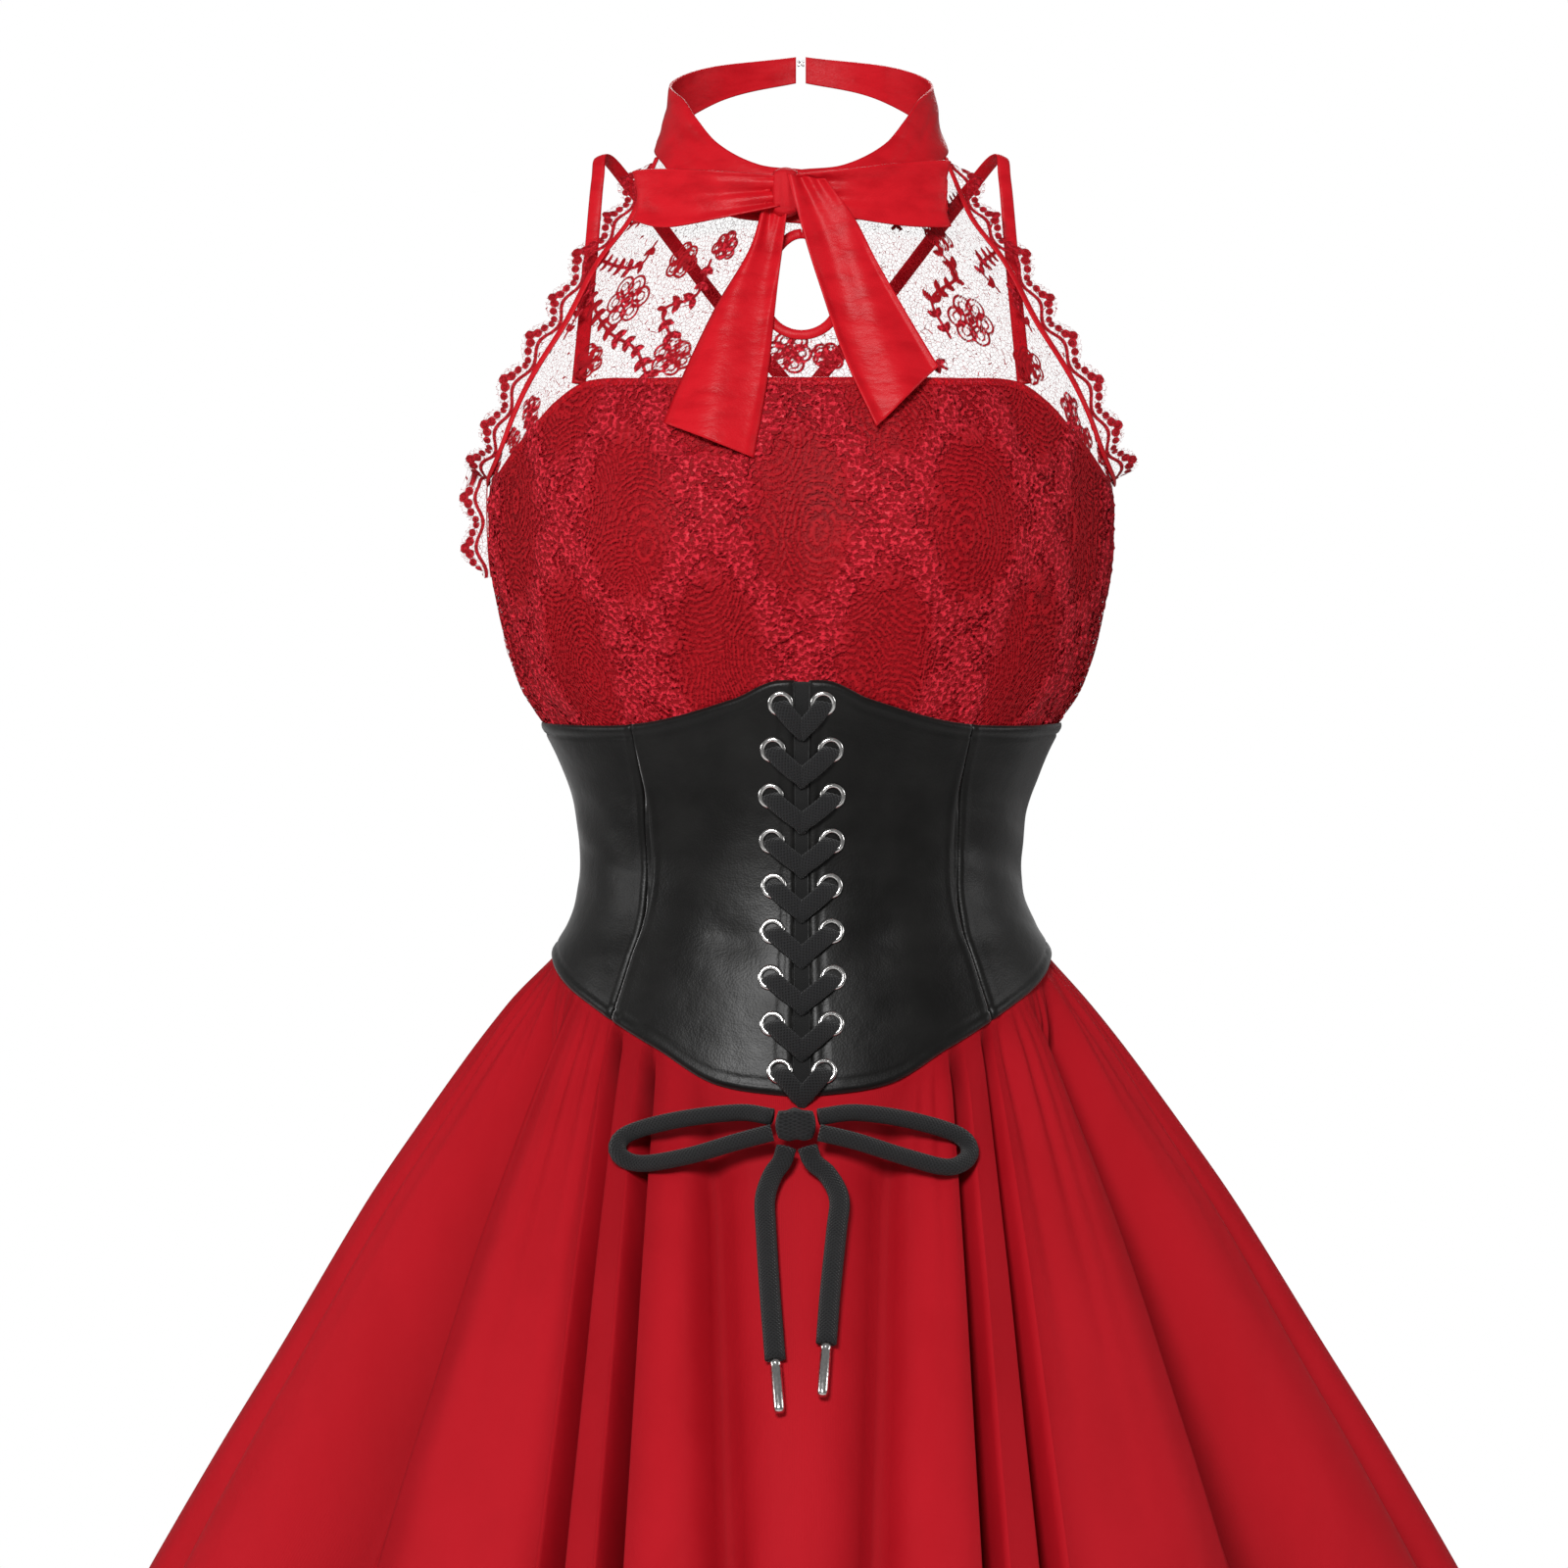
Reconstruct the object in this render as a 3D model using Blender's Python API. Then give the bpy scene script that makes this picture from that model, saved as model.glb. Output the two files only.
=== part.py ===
"""Corset dress, hollow as it is worn: halter lace bodice, laced corset belt and flared skirt.

Metres, +Z up. The origin is the centre of the neck at the collar, the front faces -Y, and
+X is at the right of someone who looks at the front. Angles go round the body in degrees:
0 is the centre front, 90 is the +X side and 180 is the centre back.
"""
import math
from collections import namedtuple

import bmesh
import bpy
from mathutils import Vector
from mathutils.geometry import delaunay_2d_cdt

Section = namedtuple("Section", "z half_width front_depth back_depth")
Edge = namedtuple("Edge", "degrees z")
Flare = namedtuple("Flare", "drop spread")
Fold = namedtuple("Fold", "top hem depth inner_width outer_width")
Armhole = namedtuple("Armhole", "degrees z")
Seam = namedtuple("Seam", "z degrees")
Tail = namedtuple("Tail", "left_x left_z right_x right_z lift")
Strap = namedtuple("Strap", "x y z face_x face_y face_z")
Loop = namedtuple("Loop", "x y top bottom")

# Layers, measured out from the body form
GAP = 0.0003
LINING = (0.0, 0.0012)
LACE = (LINING[1] + GAP, 0.0025)
TRIM = (LACE[1] + GAP, 0.0038)
COLLAR_WALL = (LACE[1] + GAP, 0.0043)
CORSET = (0.0034, 0.0053)
SKIRT_WALL = 0.0012
SATIN_WALL = 0.0010

# Body form: the sections of the torso from the hip to the collar
TORSO = (
    Section(-0.570, 0.180, 0.121, 0.125),
    Section(-0.540, 0.168, 0.113, 0.116),
    Section(-0.500, 0.150, 0.104, 0.105),
    Section(-0.474, 0.1385, 0.099, 0.095),
    Section(-0.4575, 0.1290, 0.095, 0.088),
    Section(-0.434, 0.1217, 0.092, 0.082),
    Section(-0.410, 0.1213, 0.091, 0.081),
    Section(-0.3825, 0.1250, 0.093, 0.083),
    Section(-0.3612, 0.1330, 0.096, 0.086),
    Section(-0.3400, 0.1440, 0.099, 0.089),
    Section(-0.3200, 0.1570, 0.103, 0.092),
    Section(-0.2856, 0.1680, 0.110, 0.096),
    Section(-0.2410, 0.1750, 0.113, 0.098),
    Section(-0.1850, 0.1745, 0.108, 0.096),
    Section(-0.1510, 0.1680, 0.101, 0.092),
    Section(-0.1140, 0.1500, 0.089, 0.083),
    Section(-0.0830, 0.1300, 0.079, 0.073),
    Section(-0.0550, 0.1050, 0.070, 0.064),
    Section(-0.0120, 0.0790, 0.062, 0.057),
    Section(0.0220, 0.0714, 0.058, 0.0555),
    Section(0.0500, 0.0700, 0.056, 0.0550),
)
HALF_WIDTH, FRONT_DEPTH, BACK_DEPTH = 1, 2, 3
CUP = {"fullness": 0.017, "x": 0.078, "z": -0.236, "spread_x": 0.040, "spread_z": 0.044}

# Edges of the pieces, one half of each, from the centre front to the centre back
COLLAR_TOP = (Edge(0, -0.033), Edge(15, -0.030), Edge(34, -0.0167), Edge(49, -0.001),
              Edge(62, 0.012), Edge(90, 0.0235), Edge(135, 0.040), Edge(180, 0.0485))
COLLAR_BOTTOM = (Edge(0, -0.064), Edge(20, -0.060), Edge(40, -0.046), Edge(60, -0.027),
                 Edge(90, -0.012), Edge(120, 0.008), Edge(150, 0.025), Edge(180, 0.0337))
LINING_TOP = (Edge(0, -0.1520), Edge(30, -0.1515), Edge(45, -0.1520), Edge(52.5, -0.1620),
              Edge(60, -0.1770), Edge(75, -0.1990), Edge(90, -0.2070))
BACK_TOP_Z = -0.2070
CORSET_TOP = (Edge(0, -0.317), Edge(6, -0.3177), Edge(14, -0.3270), Edge(32, -0.3385),
              Edge(49, -0.3415), Edge(90, -0.338), Edge(180, -0.338))
CORSET_BOTTOM = (Edge(0, -0.5485), Edge(16, -0.5415), Edge(30, -0.522), Edge(55, -0.496),
                 Edge(90, -0.474), Edge(180, -0.474))
ARMHOLE = (Armhole(75, -0.010), Armhole(70, -0.030), Armhole(63, -0.055), Armhole(61, -0.084),
           Armhole(60, -0.115), Armhole(64, -0.145), Armhole(69, -0.170), Armhole(74, -0.187),
           Armhole(81, -0.198), Armhole(90, -0.2035))
TUCK = 0.007
COLUMN = 7.5
DEGREE_LENGTH = 0.0026

# Lace yoke
KEYHOLE = {"top": -0.070, "bottom": -0.128, "half_width": 0.021, "points": 14}
KEYHOLE_BAND = 0.0050
ARMHOLE_BAND = 0.0050
LACE_CELL = 0.0205
LACE_FOOT = -0.158
LACE_ROW = 0.87 * LACE_CELL
LACE_WOBBLE = 0.0016
STRAND = 0.0032
FLOWER_STEP = 4
EDGING = {"width": 0.0085, "scallop": 0.0085, "pitch": 0.028}

# Corset and its lacing
PRINCESS_SEAM = (Seam(-0.560, 42), Seam(-0.530, 43), Seam(-0.478, 42), Seam(-0.418, 44),
                 Seam(-0.380, 43), Seam(-0.330, 39.5))
PRINCESS_DEGREES = 42.0
SIDE_BACK_SEAM = 112.5
SEAM_GAP = 0.08
FRONT_EDGE = 1.5
EYELET_ROWS = 9
EYELET_X = (0.0115, 0.0155, 0.0165, 0.0160, 0.0150, 0.0158, 0.0168, 0.0158, 0.0120)
EYELET_HOLE = 0.0052
EYELET_SIDES = 8
EYELET_PROFILE = ((0.0036, -0.0014), (0.0043, 0.0004), (0.0070, 0.0004), (0.0056, 0.0013),
                  (0.0038, 0.0010))
LACING = {"spine": 0.0035}
LACING_LAYER = (0.0069, 0.0085)

# Lacing bow at the centre front: routes as x, height and distance out from the skirt
KNOT_X, KNOT_Z, KNOT_LIFT = -0.0035, -0.5600, 0.0190
KNOT_HALF = (0.0120, 0.0080, 0.0095)
CORD_RADIUS = 0.0050
CORD_STEP = 0.0150
CORD_RESOLUTION = 2
AGLET = {"length": 0.031, "radius": 0.0031, "sides": 10}
LOOP_ROUTE_LEFT = ((-0.0162, -0.5560, 0.0190), (-0.0350, -0.5540, 0.017), (-0.0700, -0.5585, 0.012),
                   (-0.0960, -0.5665, 0.008), (-0.1000, -0.5760, 0.007), (-0.0880, -0.5815, 0.007),
                   (-0.0620, -0.5770, 0.010), (-0.0350, -0.5690, 0.017), (-0.0162, -0.5641, 0.0190))
LOOP_ROUTE_RIGHT = ((0.0092, -0.5560, 0.0190), (0.0300, -0.5540, 0.017), (0.0600, -0.5585, 0.012),
                    (0.0860, -0.5670, 0.008), (0.0910, -0.5770, 0.007), (0.0800, -0.5830, 0.007),
                    (0.0580, -0.5780, 0.010), (0.0300, -0.5690, 0.017), (0.0092, -0.5641, 0.0190))
TAIL_ROUTE_LEFT = ((-0.0085, -0.5724, 0.0107), (-0.0110, -0.5800, 0.0080), (-0.0160, -0.5870, 0.0060),
                   (-0.0200, -0.5990, 0.0056), (-0.0195, -0.6150, 0.0056), (-0.0175, -0.6450, 0.0056),
                   (-0.0145, -0.6800, 0.0056))
TAIL_ROUTE_RIGHT = ((0.0030, -0.5724, 0.0107), (0.0060, -0.5800, 0.0080), (0.0140, -0.5870, 0.0060),
                    (0.0200, -0.5990, 0.0056), (0.0185, -0.6150, 0.0056), (0.0150, -0.6450, 0.0056),
                    (0.0126, -0.6720, 0.0056))

# Neck bow: loops run out along the front and back along the inside
KNOT_ROUNDING = 0.0042
BOW_KNOT = (-0.0090, -0.0834, -0.0465)
BOW_KNOT_HALF = (0.0085, 0.0080, 0.0145)
BOW_LOOP_LEFT = (Loop(-0.0179, -0.0864, -0.0365, -0.0560), Loop(-0.0450, -0.0860, -0.0340, -0.0610),
                 Loop(-0.0750, -0.0760, -0.0320, -0.0650), Loop(-0.0925, -0.0650, -0.0290, -0.0620),
                 Loop(-0.0915, -0.0580, -0.0300, -0.0610), Loop(-0.0700, -0.0660, -0.0330, -0.0620),
                 Loop(-0.0179, -0.0805, -0.0370, -0.0560))
BOW_LOOP_RIGHT = (Loop(-0.0001, -0.0864, -0.0365, -0.0560), Loop(0.0270, -0.0890, -0.0340, -0.0610),
                  Loop(0.0570, -0.0800, -0.0320, -0.0650), Loop(0.0745, -0.0690, -0.0290, -0.0620),
                  Loop(0.0735, -0.0620, -0.0300, -0.0610), Loop(0.0520, -0.0700, -0.0330, -0.0620),
                  Loop(-0.0001, -0.0805, -0.0370, -0.0560))
BOW_TAIL_LEFT = (Tail(-0.0170, -0.0614, -0.0096, -0.0614, 0.0105),
                 Tail(-0.0300, -0.0780, -0.0125, -0.0780, 0.0100),
                 Tail(-0.0480, -0.1110, -0.0140, -0.1100, 0.0095),
                 Tail(-0.0640, -0.1450, -0.0190, -0.1500, 0.0085),
                 Tail(-0.0760, -0.1790, -0.0270, -0.2010, 0.0080))
BOW_TAIL_RIGHT = (Tail(-0.0084, -0.0614, 0.0040, -0.0614, 0.0110),
                  Tail(0.0010, -0.0820, 0.0330, -0.0700, 0.0100),
                  Tail(0.0160, -0.1280, 0.0560, -0.1060, 0.0095),
                  Tail(0.0280, -0.1560, 0.0670, -0.1280, 0.0090),
                  Tail(0.0430, -0.1780, 0.0730, -0.1430, 0.0090))

# Straps: place and facing, from the top of the inner bodice over the shoulder to the back
STRAP = (Strap(0.1245, -0.0655, -0.1512, 0.0, -1.0, 0.0), Strap(0.1220, -0.0390, -0.1130, 0.0, -1.0, 0.2),
         Strap(0.1190, -0.0190, -0.0700, 0.2, -1.0, 0.4), Strap(0.1160, -0.0090, -0.0310, 0.3, -0.7, 0.9),
         Strap(0.1130, 0.0020, -0.0165, 0.2, 0.3, 1.0), Strap(0.0950, 0.0280, -0.0350, 0.2, 0.8, 0.8),
         Strap(0.0480, 0.0780, -0.0930, 0.1, 1.0, 0.3), Strap(0.0000, 0.0930, -0.1500, 0.0, 1.0, 0.1),
         Strap(-0.0350, 0.0990, -0.2050, 0.0, 1.0, 0.0), Strap(-0.0400, 0.1000, -0.2160, 0.0, 1.0, 0.0))
STRAP_WIDTH = 0.0080
STRAP_CROSSING = 0.0018
SIDE_EDGING = 0.055
NAPE_OPENING = 2.2
COLLAR_SEAM, COLLAR_SEAM_GAP = 97.5, 0.25
STRAP_WALL = 0.0012
EDGING_WALL = 0.0010
EDGING_STEP = 0.0056
CLASP_WIRE = 0.0006

# Skirt: folds by the angle where each starts at the corset and ends at the hem
HEM_Z = -1.020
HEM_HALF_WIDTH, HEM_FRONT, HEM_BACK = 0.482, 0.400, 0.395
SKIRT_TUCK = 0.004
SKIRT_ROWS = 6
SIDE_SEAM = 0.03
WIDEST_COLUMN = 6.5
WIDEST_AT_TOP = 4.5
FLARE = (Flare(0.0, 0.0), Flare(0.084, 0.113), Flare(0.175, 0.222), Flare(0.258, 0.315),
         Flare(0.405, 0.460), Flare(0.505, 0.559), Flare(0.6375, 0.681), Flare(1.0, 1.0))
FRONT_FOLDS = (Fold(19, 3.6, 0.008, 1.7, 3.0), Fold(31, 13.6, 0.022, 1.9, 1.9),
               Fold(41, 18.4, 0.026, 1.9, 2.2), Fold(63.2, 45.0, 0.080, 7.5, 17.0),
               Fold(70, 56.0, 0.014, 5.0, 5.0), Fold(82, 77.0, 0.020, 4.0, 4.0))
BACK_FOLDS = (Fold(105, 107.0, 0.026, 3.0, 5.0), Fold(119, 121.0, 0.018, 5.0, 5.0),
              Fold(133, 136.0, 0.040, 3.0, 6.0), Fold(146, 150.0, 0.016, 5.0, 4.0),
              Fold(160, 163.0, 0.032, 3.0, 5.0), Fold(172, 173.0, 0.020, 3.0, 3.0))
FRONT_STOPS = (-1.0, -0.5, 0.0, 0.5, 1.0)
BACK_STOPS = (-1.0, 0.0, 1.0)

FINISHES = {
    "satin": ((0.56, 0.012, 0.028, 1.0), 0.35, 0.0),
    "lace": ((0.42, 0.010, 0.024, 1.0), 0.60, 0.0),
    "lining": ((0.40, 0.008, 0.020, 1.0), 0.60, 0.0),
    "leather": ((0.012, 0.011, 0.010, 1.0), 0.38, 0.0),
    "braid": ((0.006, 0.006, 0.006, 1.0), 0.85, 0.0),
    "silver": ((0.72, 0.71, 0.69, 1.0), 0.22, 1.0),
    "skirt": ((0.53, 0.012, 0.022, 1.0), 0.55, 0.0),
}


def lookup(rows, key, column):
    """Smooth value of one column at a key, from rows that rise in their first column."""
    last = len(rows) - 1
    if key <= rows[0][0]:
        return rows[0][column]
    if key >= rows[last][0]:
        return rows[last][column]
    index = max(k for k in range(last) if rows[k][0] <= key)
    low, high = rows[index], rows[index + 1]
    span = high[0] - low[0]

    def slope(k):
        before, after = rows[max(k - 1, 0)], rows[min(k + 1, last)]
        return span * (after[column] - before[column]) / (after[0] - before[0])

    s = (key - low[0]) / span
    bend = 3 * s * s - 2 * s ** 3
    start = slope(index) * (s ** 3 - 2 * s * s + s)
    finish = slope(index + 1) * (s ** 3 - s * s)
    return low[column] + (high[column] - low[column]) * bend + start + finish


def edge(rows, degrees):
    """Height of an edge at an angle, the same on both sides."""
    return lookup(rows, abs(degrees), 1)


def blend(low, high, share):
    """Value a share of the way from low to high."""
    return low + (high - low) * share


def smooth(low, high, value):
    """Smooth step from 0 at low to 1 at high."""
    share = min(1.0, max(0.0, (value - low) / (high - low)))
    return share * share * (3 - 2 * share)


def cup_fullness(x, z):
    """How far the two cups stand out of the chest."""
    across = (abs(x) - CUP["x"]) / CUP["spread_x"]
    upward = (z - CUP["z"]) / CUP["spread_z"]
    return CUP["fullness"] * math.exp(-0.5 * (across ** 2 + upward ** 2))


def torso(degrees, z):
    """Point of the body form at an angle and a height."""
    angle = math.radians(degrees)
    ahead = math.cos(angle)
    depth = lookup(TORSO, z, FRONT_DEPTH if ahead > 0 else BACK_DEPTH)
    x = lookup(TORSO, z, HALF_WIDTH) * math.sin(angle)
    cup = cup_fullness(x, z) * min(1.0, max(0.0, 2 * ahead))
    return Vector((x, -depth * ahead - cup, z))


def on_torso(degrees, z, out):
    """Point at a distance out from the body form."""
    turn, rise = 0.5, 0.001
    around = torso(degrees + turn, z) - torso(degrees - turn, z)
    upward = torso(degrees, z + rise) - torso(degrees, z - rise)
    return torso(degrees, z) + around.cross(upward).normalized() * out


def degrees_at(x, z):
    """Front angle at which the body form has this x."""
    share = x / lookup(TORSO, z, HALF_WIDTH)
    return math.degrees(math.asin(max(-1.0, min(1.0, share))))


def chest(x, z, out):
    """Point in front of the chest or the belly, by its x and height."""
    return on_torso(degrees_at(x, z), z, out)


def fold_depth(fold, hem_degrees, share):
    """How far one fold draws the skirt in, on the line that ends at an angle of the hem."""
    offset = abs(hem_degrees) - fold.hem
    width = fold.outer_width if offset > 0 else fold.inner_width
    deepening = smooth(-0.12, 0.40, share) * (0.40 + 0.60 * share)
    return fold.depth * deepening * math.exp(-1.6 * (offset / width) ** 2)


def top_angle(hem_degrees):
    """Angle at the corset of the skirt line that ends at an angle of the hem."""
    lines = [(0.0, 0.0)] + [(fold.hem, fold.top) for fold in FRONT_FOLDS] + [(90.0, 90.0)]
    lines += sorted((fold.hem, fold.top) for fold in BACK_FOLDS) + [(180.0, 180.0)]
    size = min(179.999, abs(hem_degrees))
    index = max(k for k in range(len(lines) - 1) if lines[k][0] <= size)
    low, high = lines[index], lines[index + 1]
    value = blend(low[1], high[1], (size - low[0]) / (high[0] - low[0]))
    return math.copysign(value, hem_degrees)


def skirt_form(hem_degrees, share):
    """Point of the skirt on the line to an angle of the hem: share 0 at the corset, 1 at the hem."""
    top = top_angle(hem_degrees) if abs(hem_degrees) < 180 else hem_degrees
    start = on_torso(top, edge(CORSET_BOTTOM, top) - 0.001, LACE[1])
    angle = math.radians(hem_degrees)
    hem_depth = HEM_FRONT if math.cos(angle) > 0 else HEM_BACK
    hem = Vector((HEM_HALF_WIDTH * math.sin(angle), -hem_depth * math.cos(angle), HEM_Z))
    spread = lookup(FLARE, share, 1)
    point = Vector((blend(start.x, hem.x, spread), blend(start.y, hem.y, spread),
                    blend(start.z, hem.z, share)))
    drawn_in = sum(fold_depth(fold, hem_degrees, share) for fold in FRONT_FOLDS + BACK_FOLDS)
    return point - Vector((point.x, point.y, 0)).normalized() * drawn_in


def on_skirt(hem_degrees, share, out):
    """Point at a distance out from the skirt. A share below 0 is the edge inside the corset."""
    if share < 0:
        top = top_angle(hem_degrees)
        return on_torso(top, edge(CORSET_BOTTOM, top) + SKIRT_TUCK, LACE[1] + out)
    turn, rise = 0.25, 0.004
    across = skirt_form(hem_degrees + turn, share) - skirt_form(hem_degrees - turn, share)
    lower, upper = min(1.0, share + rise), max(0.0, share - rise)
    upward = skirt_form(hem_degrees, upper) - skirt_form(hem_degrees, lower)
    return skirt_form(hem_degrees, share) + across.cross(upward).normalized() * out


def front_of_skirt(x, z, out):
    """Point in front of the skirt, by its x and height."""
    hem, share = 2.0, 0.2
    for _ in range(60):
        point = on_skirt(hem, share, out)
        hem += 100 * (x - point.x)
        hem = max(-80.0, min(80.0, hem))
        share = min(1.0, max(0.0, share - 1.2 * (z - point.z)))
    return point


def finish_object(name, mesh, finish, owner):
    """Makes a bmesh an object of the dress with its own material."""
    bmesh.ops.recalc_face_normals(mesh, faces=mesh.faces)
    data = bpy.data.meshes.new(name)
    mesh.to_mesh(data)
    mesh.free()
    data.shade_smooth()
    piece = bpy.data.objects.new(name, data)
    dress_object(piece, finish, owner)
    return piece


def dress_object(piece, finish, owner):
    """Links a piece, parents it to the dress and gives it a material of its own."""
    colour, roughness, metallic = FINISHES[finish]
    material = bpy.data.materials.new(piece.name)
    material.use_nodes = True
    shader = material.node_tree.nodes["Principled BSDF"]
    shader.inputs["Base Color"].default_value = colour
    shader.inputs["Roughness"].default_value = roughness
    shader.inputs["Metallic"].default_value = metallic
    piece.data.materials.append(material)
    bpy.context.collection.objects.link(piece)
    piece.parent = owner


def wall(name, points, faces, place, layer, finish, owner):
    """Closed wall: a flat pattern placed at both faces of a layer and joined round its edges."""
    mesh = bmesh.new()
    outside = [mesh.verts.new(place(*point, layer[1])) for point in points]
    inside = [mesh.verts.new(place(*point, layer[0])) for point in points]
    sides = set()
    for face in faces:
        mesh.faces.new([outside[k] for k in face])
        mesh.faces.new([inside[k] for k in reversed(face)])
        sides.update(zip(face, face[1:] + face[:1]))
    for a, b in sorted(sides):
        if (b, a) not in sides:
            mesh.faces.new((outside[b], outside[a], inside[a], inside[b]))
    loose = [vert for vert in mesh.verts if not vert.link_faces]
    bmesh.ops.delete(mesh, geom=loose, context="VERTS")
    return finish_object(name, mesh, finish, owner)


def net_faces(columns, rows):
    """Triangles of a pattern whose points run up each column in turn."""
    faces = []
    for i in range(columns - 1):
        for j in range(rows - 1):
            a = i * rows + j
            b = a + rows
            faces += [(a, b, b + 1), (a, b + 1, a + 1)]
    return faces


def panel_points(columns, bottom, top, steps):
    """Pattern points between two edges, given as functions of the angle."""
    return [(a, blend(bottom(a), top(a), k / steps)) for a in columns for k in range(steps + 1)]


def angles(first, last, most=COLUMN):
    """Even angles from first to last, at most a column apart, on the shared columns inside."""
    inner = [k * most for k in range(-48, 49) if first + 2 < k * most < last - 2]
    return [first] + inner + [last]


def band(name, columns, bottom, top, steps, layer, finish, owner, place=on_torso):
    """Panel of the dress between two edges."""
    points = panel_points(columns, bottom, top, steps)
    return wall(name, points, net_faces(len(columns), steps + 1), place, layer, finish, owner)


def inside(point, polygon):
    """Whether a flat point lies in a polygon."""
    found = False
    for (x1, y1), (x2, y2) in zip(polygon, polygon[1:] + polygon[:1]):
        if (y1 > point[1]) != (y2 > point[1]):
            if point[0] < x1 + (x2 - x1) * (point[1] - y1) / (y2 - y1):
                found = not found
    return found


def cut_pattern(outline, holes, lines, points):
    """Triangles of a flat outline less its holes, whose edges follow the given lines too."""
    verts, edges = list(points), []
    closed_paths = [(path, True) for path in [outline] + holes]
    for path, closed in closed_paths + [(line, False) for line in lines]:
        first = len(verts)
        verts += path
        edges += [(k, k + 1) for k in range(first, len(verts) - 1)]
        if closed:
            edges.append((len(verts) - 1, first))
    found = delaunay_2d_cdt([Vector(v) for v in verts], edges, [], 0, 1e-6)
    flat, faces = [tuple(v) for v in found[0]], []
    for a, b, c in found[2]:
        middle = [(flat[a][k] + flat[b][k] + flat[c][k]) / 3 for k in (0, 1)]
        if inside(middle, outline) and not any(inside(middle, hole) for hole in holes):
            faces.append((a, b, c))
    return flat, faces


def flat(points):
    """Pattern points (angle, height) as flat lengths."""
    return [(a * DEGREE_LENGTH, z) for a, z in points]


def unflat(points):
    """Flat lengths as pattern points (angle, height)."""
    return [(u / DEGREE_LENGTH, z) for u, z in points]


def keyhole_outline(grow):
    """Drop-shaped opening below the collar, counted from its lowest point, round one way."""
    outline = []
    for k in range(KEYHOLE["points"]):
        turn = 2 * math.pi * k / KEYHOLE["points"]
        height = (KEYHOLE["top"] - KEYHOLE["bottom"]) / 2 + grow
        z = (KEYHOLE["top"] + KEYHOLE["bottom"]) / 2 - height * math.cos(turn)
        width = (KEYHOLE["half_width"] + grow) * (1 + 0.18 * math.cos(turn))
        x = width * math.sin(turn)
        outline.append((degrees_at(x, z), z))
    return outline


def armhole_path(step=0.011):
    """Armhole edge of the +X side from the collar to the side seam, at even steps."""
    rows = [(k, a, z) for k, (a, z) in enumerate(ARMHOLE)]
    dense = [(lookup(rows, t / 12, 1), lookup(rows, t / 12, 2)) for t in range(12 * len(rows) - 11)]
    path, since = [dense[0]], 0.0
    for before, after in zip(dense, dense[1:]):
        since += math.dist(*flat([before, after]))
        if since >= step:
            path.append(after)
            since = 0.0
    if since < step / 2:
        path.pop()
    return path + [dense[-1]]


def shifted(path, distance):
    """A pattern line moved sideways by a flat distance, to the left of its direction."""
    line, moved = flat(path), []
    for k, (u, v) in enumerate(line):
        before, after = line[max(k - 1, 0)], line[min(k + 1, len(line) - 1)]
        along = Vector((after[0] - before[0], after[1] - before[1])).normalized()
        moved.append((u - along.y * distance, v + along.x * distance))
    return unflat(moved)


def mirrored(path):
    """A pattern line on the other side of the body."""
    return [(-a, z) for a, z in path]


def lace_cells(edge_lines, keyhole):
    """Openings between the strands of the yoke: shrunken cells of a flower lattice."""
    border = flat(edge_lines)
    sites = []
    for row in range(-1, 9):
        for column in range(-12, 13):
            u = (column + 0.5 * (row % 2)) * LACE_CELL
            v = LACE_FOOT + row * LACE_ROW
            u += LACE_WOBBLE * math.sin(5.1 * column + 2.3 * row)
            v += LACE_WOBBLE * math.sin(3.7 * row - 4.3 * column)
            flower = (column + 2 * (row // 2) + (row % 2)) % FLOWER_STEP == 0 and row % 2 == 0
            sites.append((u, v, flower))
    cells = []
    for u, v, flower in sites:
        if flower:
            continue
        cell = cell_round((u, v), sites)
        cell = trim_cell(cell, border, keyhole)
        if cell:
            cells.append(cell)
    return cells


def cell_round(centre, sites):
    """Polygon of the points nearest to one site, drawn in by half a strand."""
    reach = LACE_CELL
    cell = [(centre[0] + reach * dx, centre[1] + reach * dy)
            for dx, dy in ((-1, -1), (1, -1), (1, 1), (-1, 1))]
    for u, v, flower in sites:
        away = Vector((u - centre[0], v - centre[1]))
        if not 1e-6 < away.length < 2.2 * LACE_CELL:
            continue
        keep = away.length / 2 - STRAND / 2
        cell = clipped(cell, centre, away.normalized(), keep)
    return cell


def clipped(cell, centre, direction, keep):
    """Part of a convex polygon that lies within a distance of a centre along a direction."""
    result = []
    reach = [(p[0] - centre[0]) * direction.x + (p[1] - centre[1]) * direction.y - keep for p in cell]
    for k, point in enumerate(cell):
        following = (k + 1) % len(cell)
        if reach[k] <= 0:
            result.append(point)
        if (reach[k] > 0) != (reach[following] > 0):
            share = reach[k] / (reach[k] - reach[following])
            nearby = cell[following]
            result.append((blend(point[0], nearby[0], share), blend(point[1], nearby[1], share)))
    return result


def trim_cell(cell, border, keyhole):
    """A cell drawn to its middle until it is clear of the yoke's border, or nothing."""
    margin = 0.0024
    middle = (sum(p[0] for p in cell) / len(cell), sum(p[1] for p in cell) / len(cell))
    grown = flat(keyhole)
    for size in (1.0, 0.85, 0.7, 0.56):
        smaller = [(blend(middle[0], p[0], size), blend(middle[1], p[1], size)) for p in cell]
        clear = all(inside(p, border) and not inside(p, grown) for p in smaller + [middle])
        if clear and all(distance_to(p, border) > margin for p in smaller):
            if all(distance_to(p, grown) > margin for p in smaller):
                return merged_corners(smaller)
    return None


def merged_corners(cell, least=0.0022):
    """A polygon without its very short sides."""
    kept = [p for k, p in enumerate(cell) if math.dist(p, cell[k - 1]) > least]
    return kept if len(kept) > 2 else None


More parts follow.
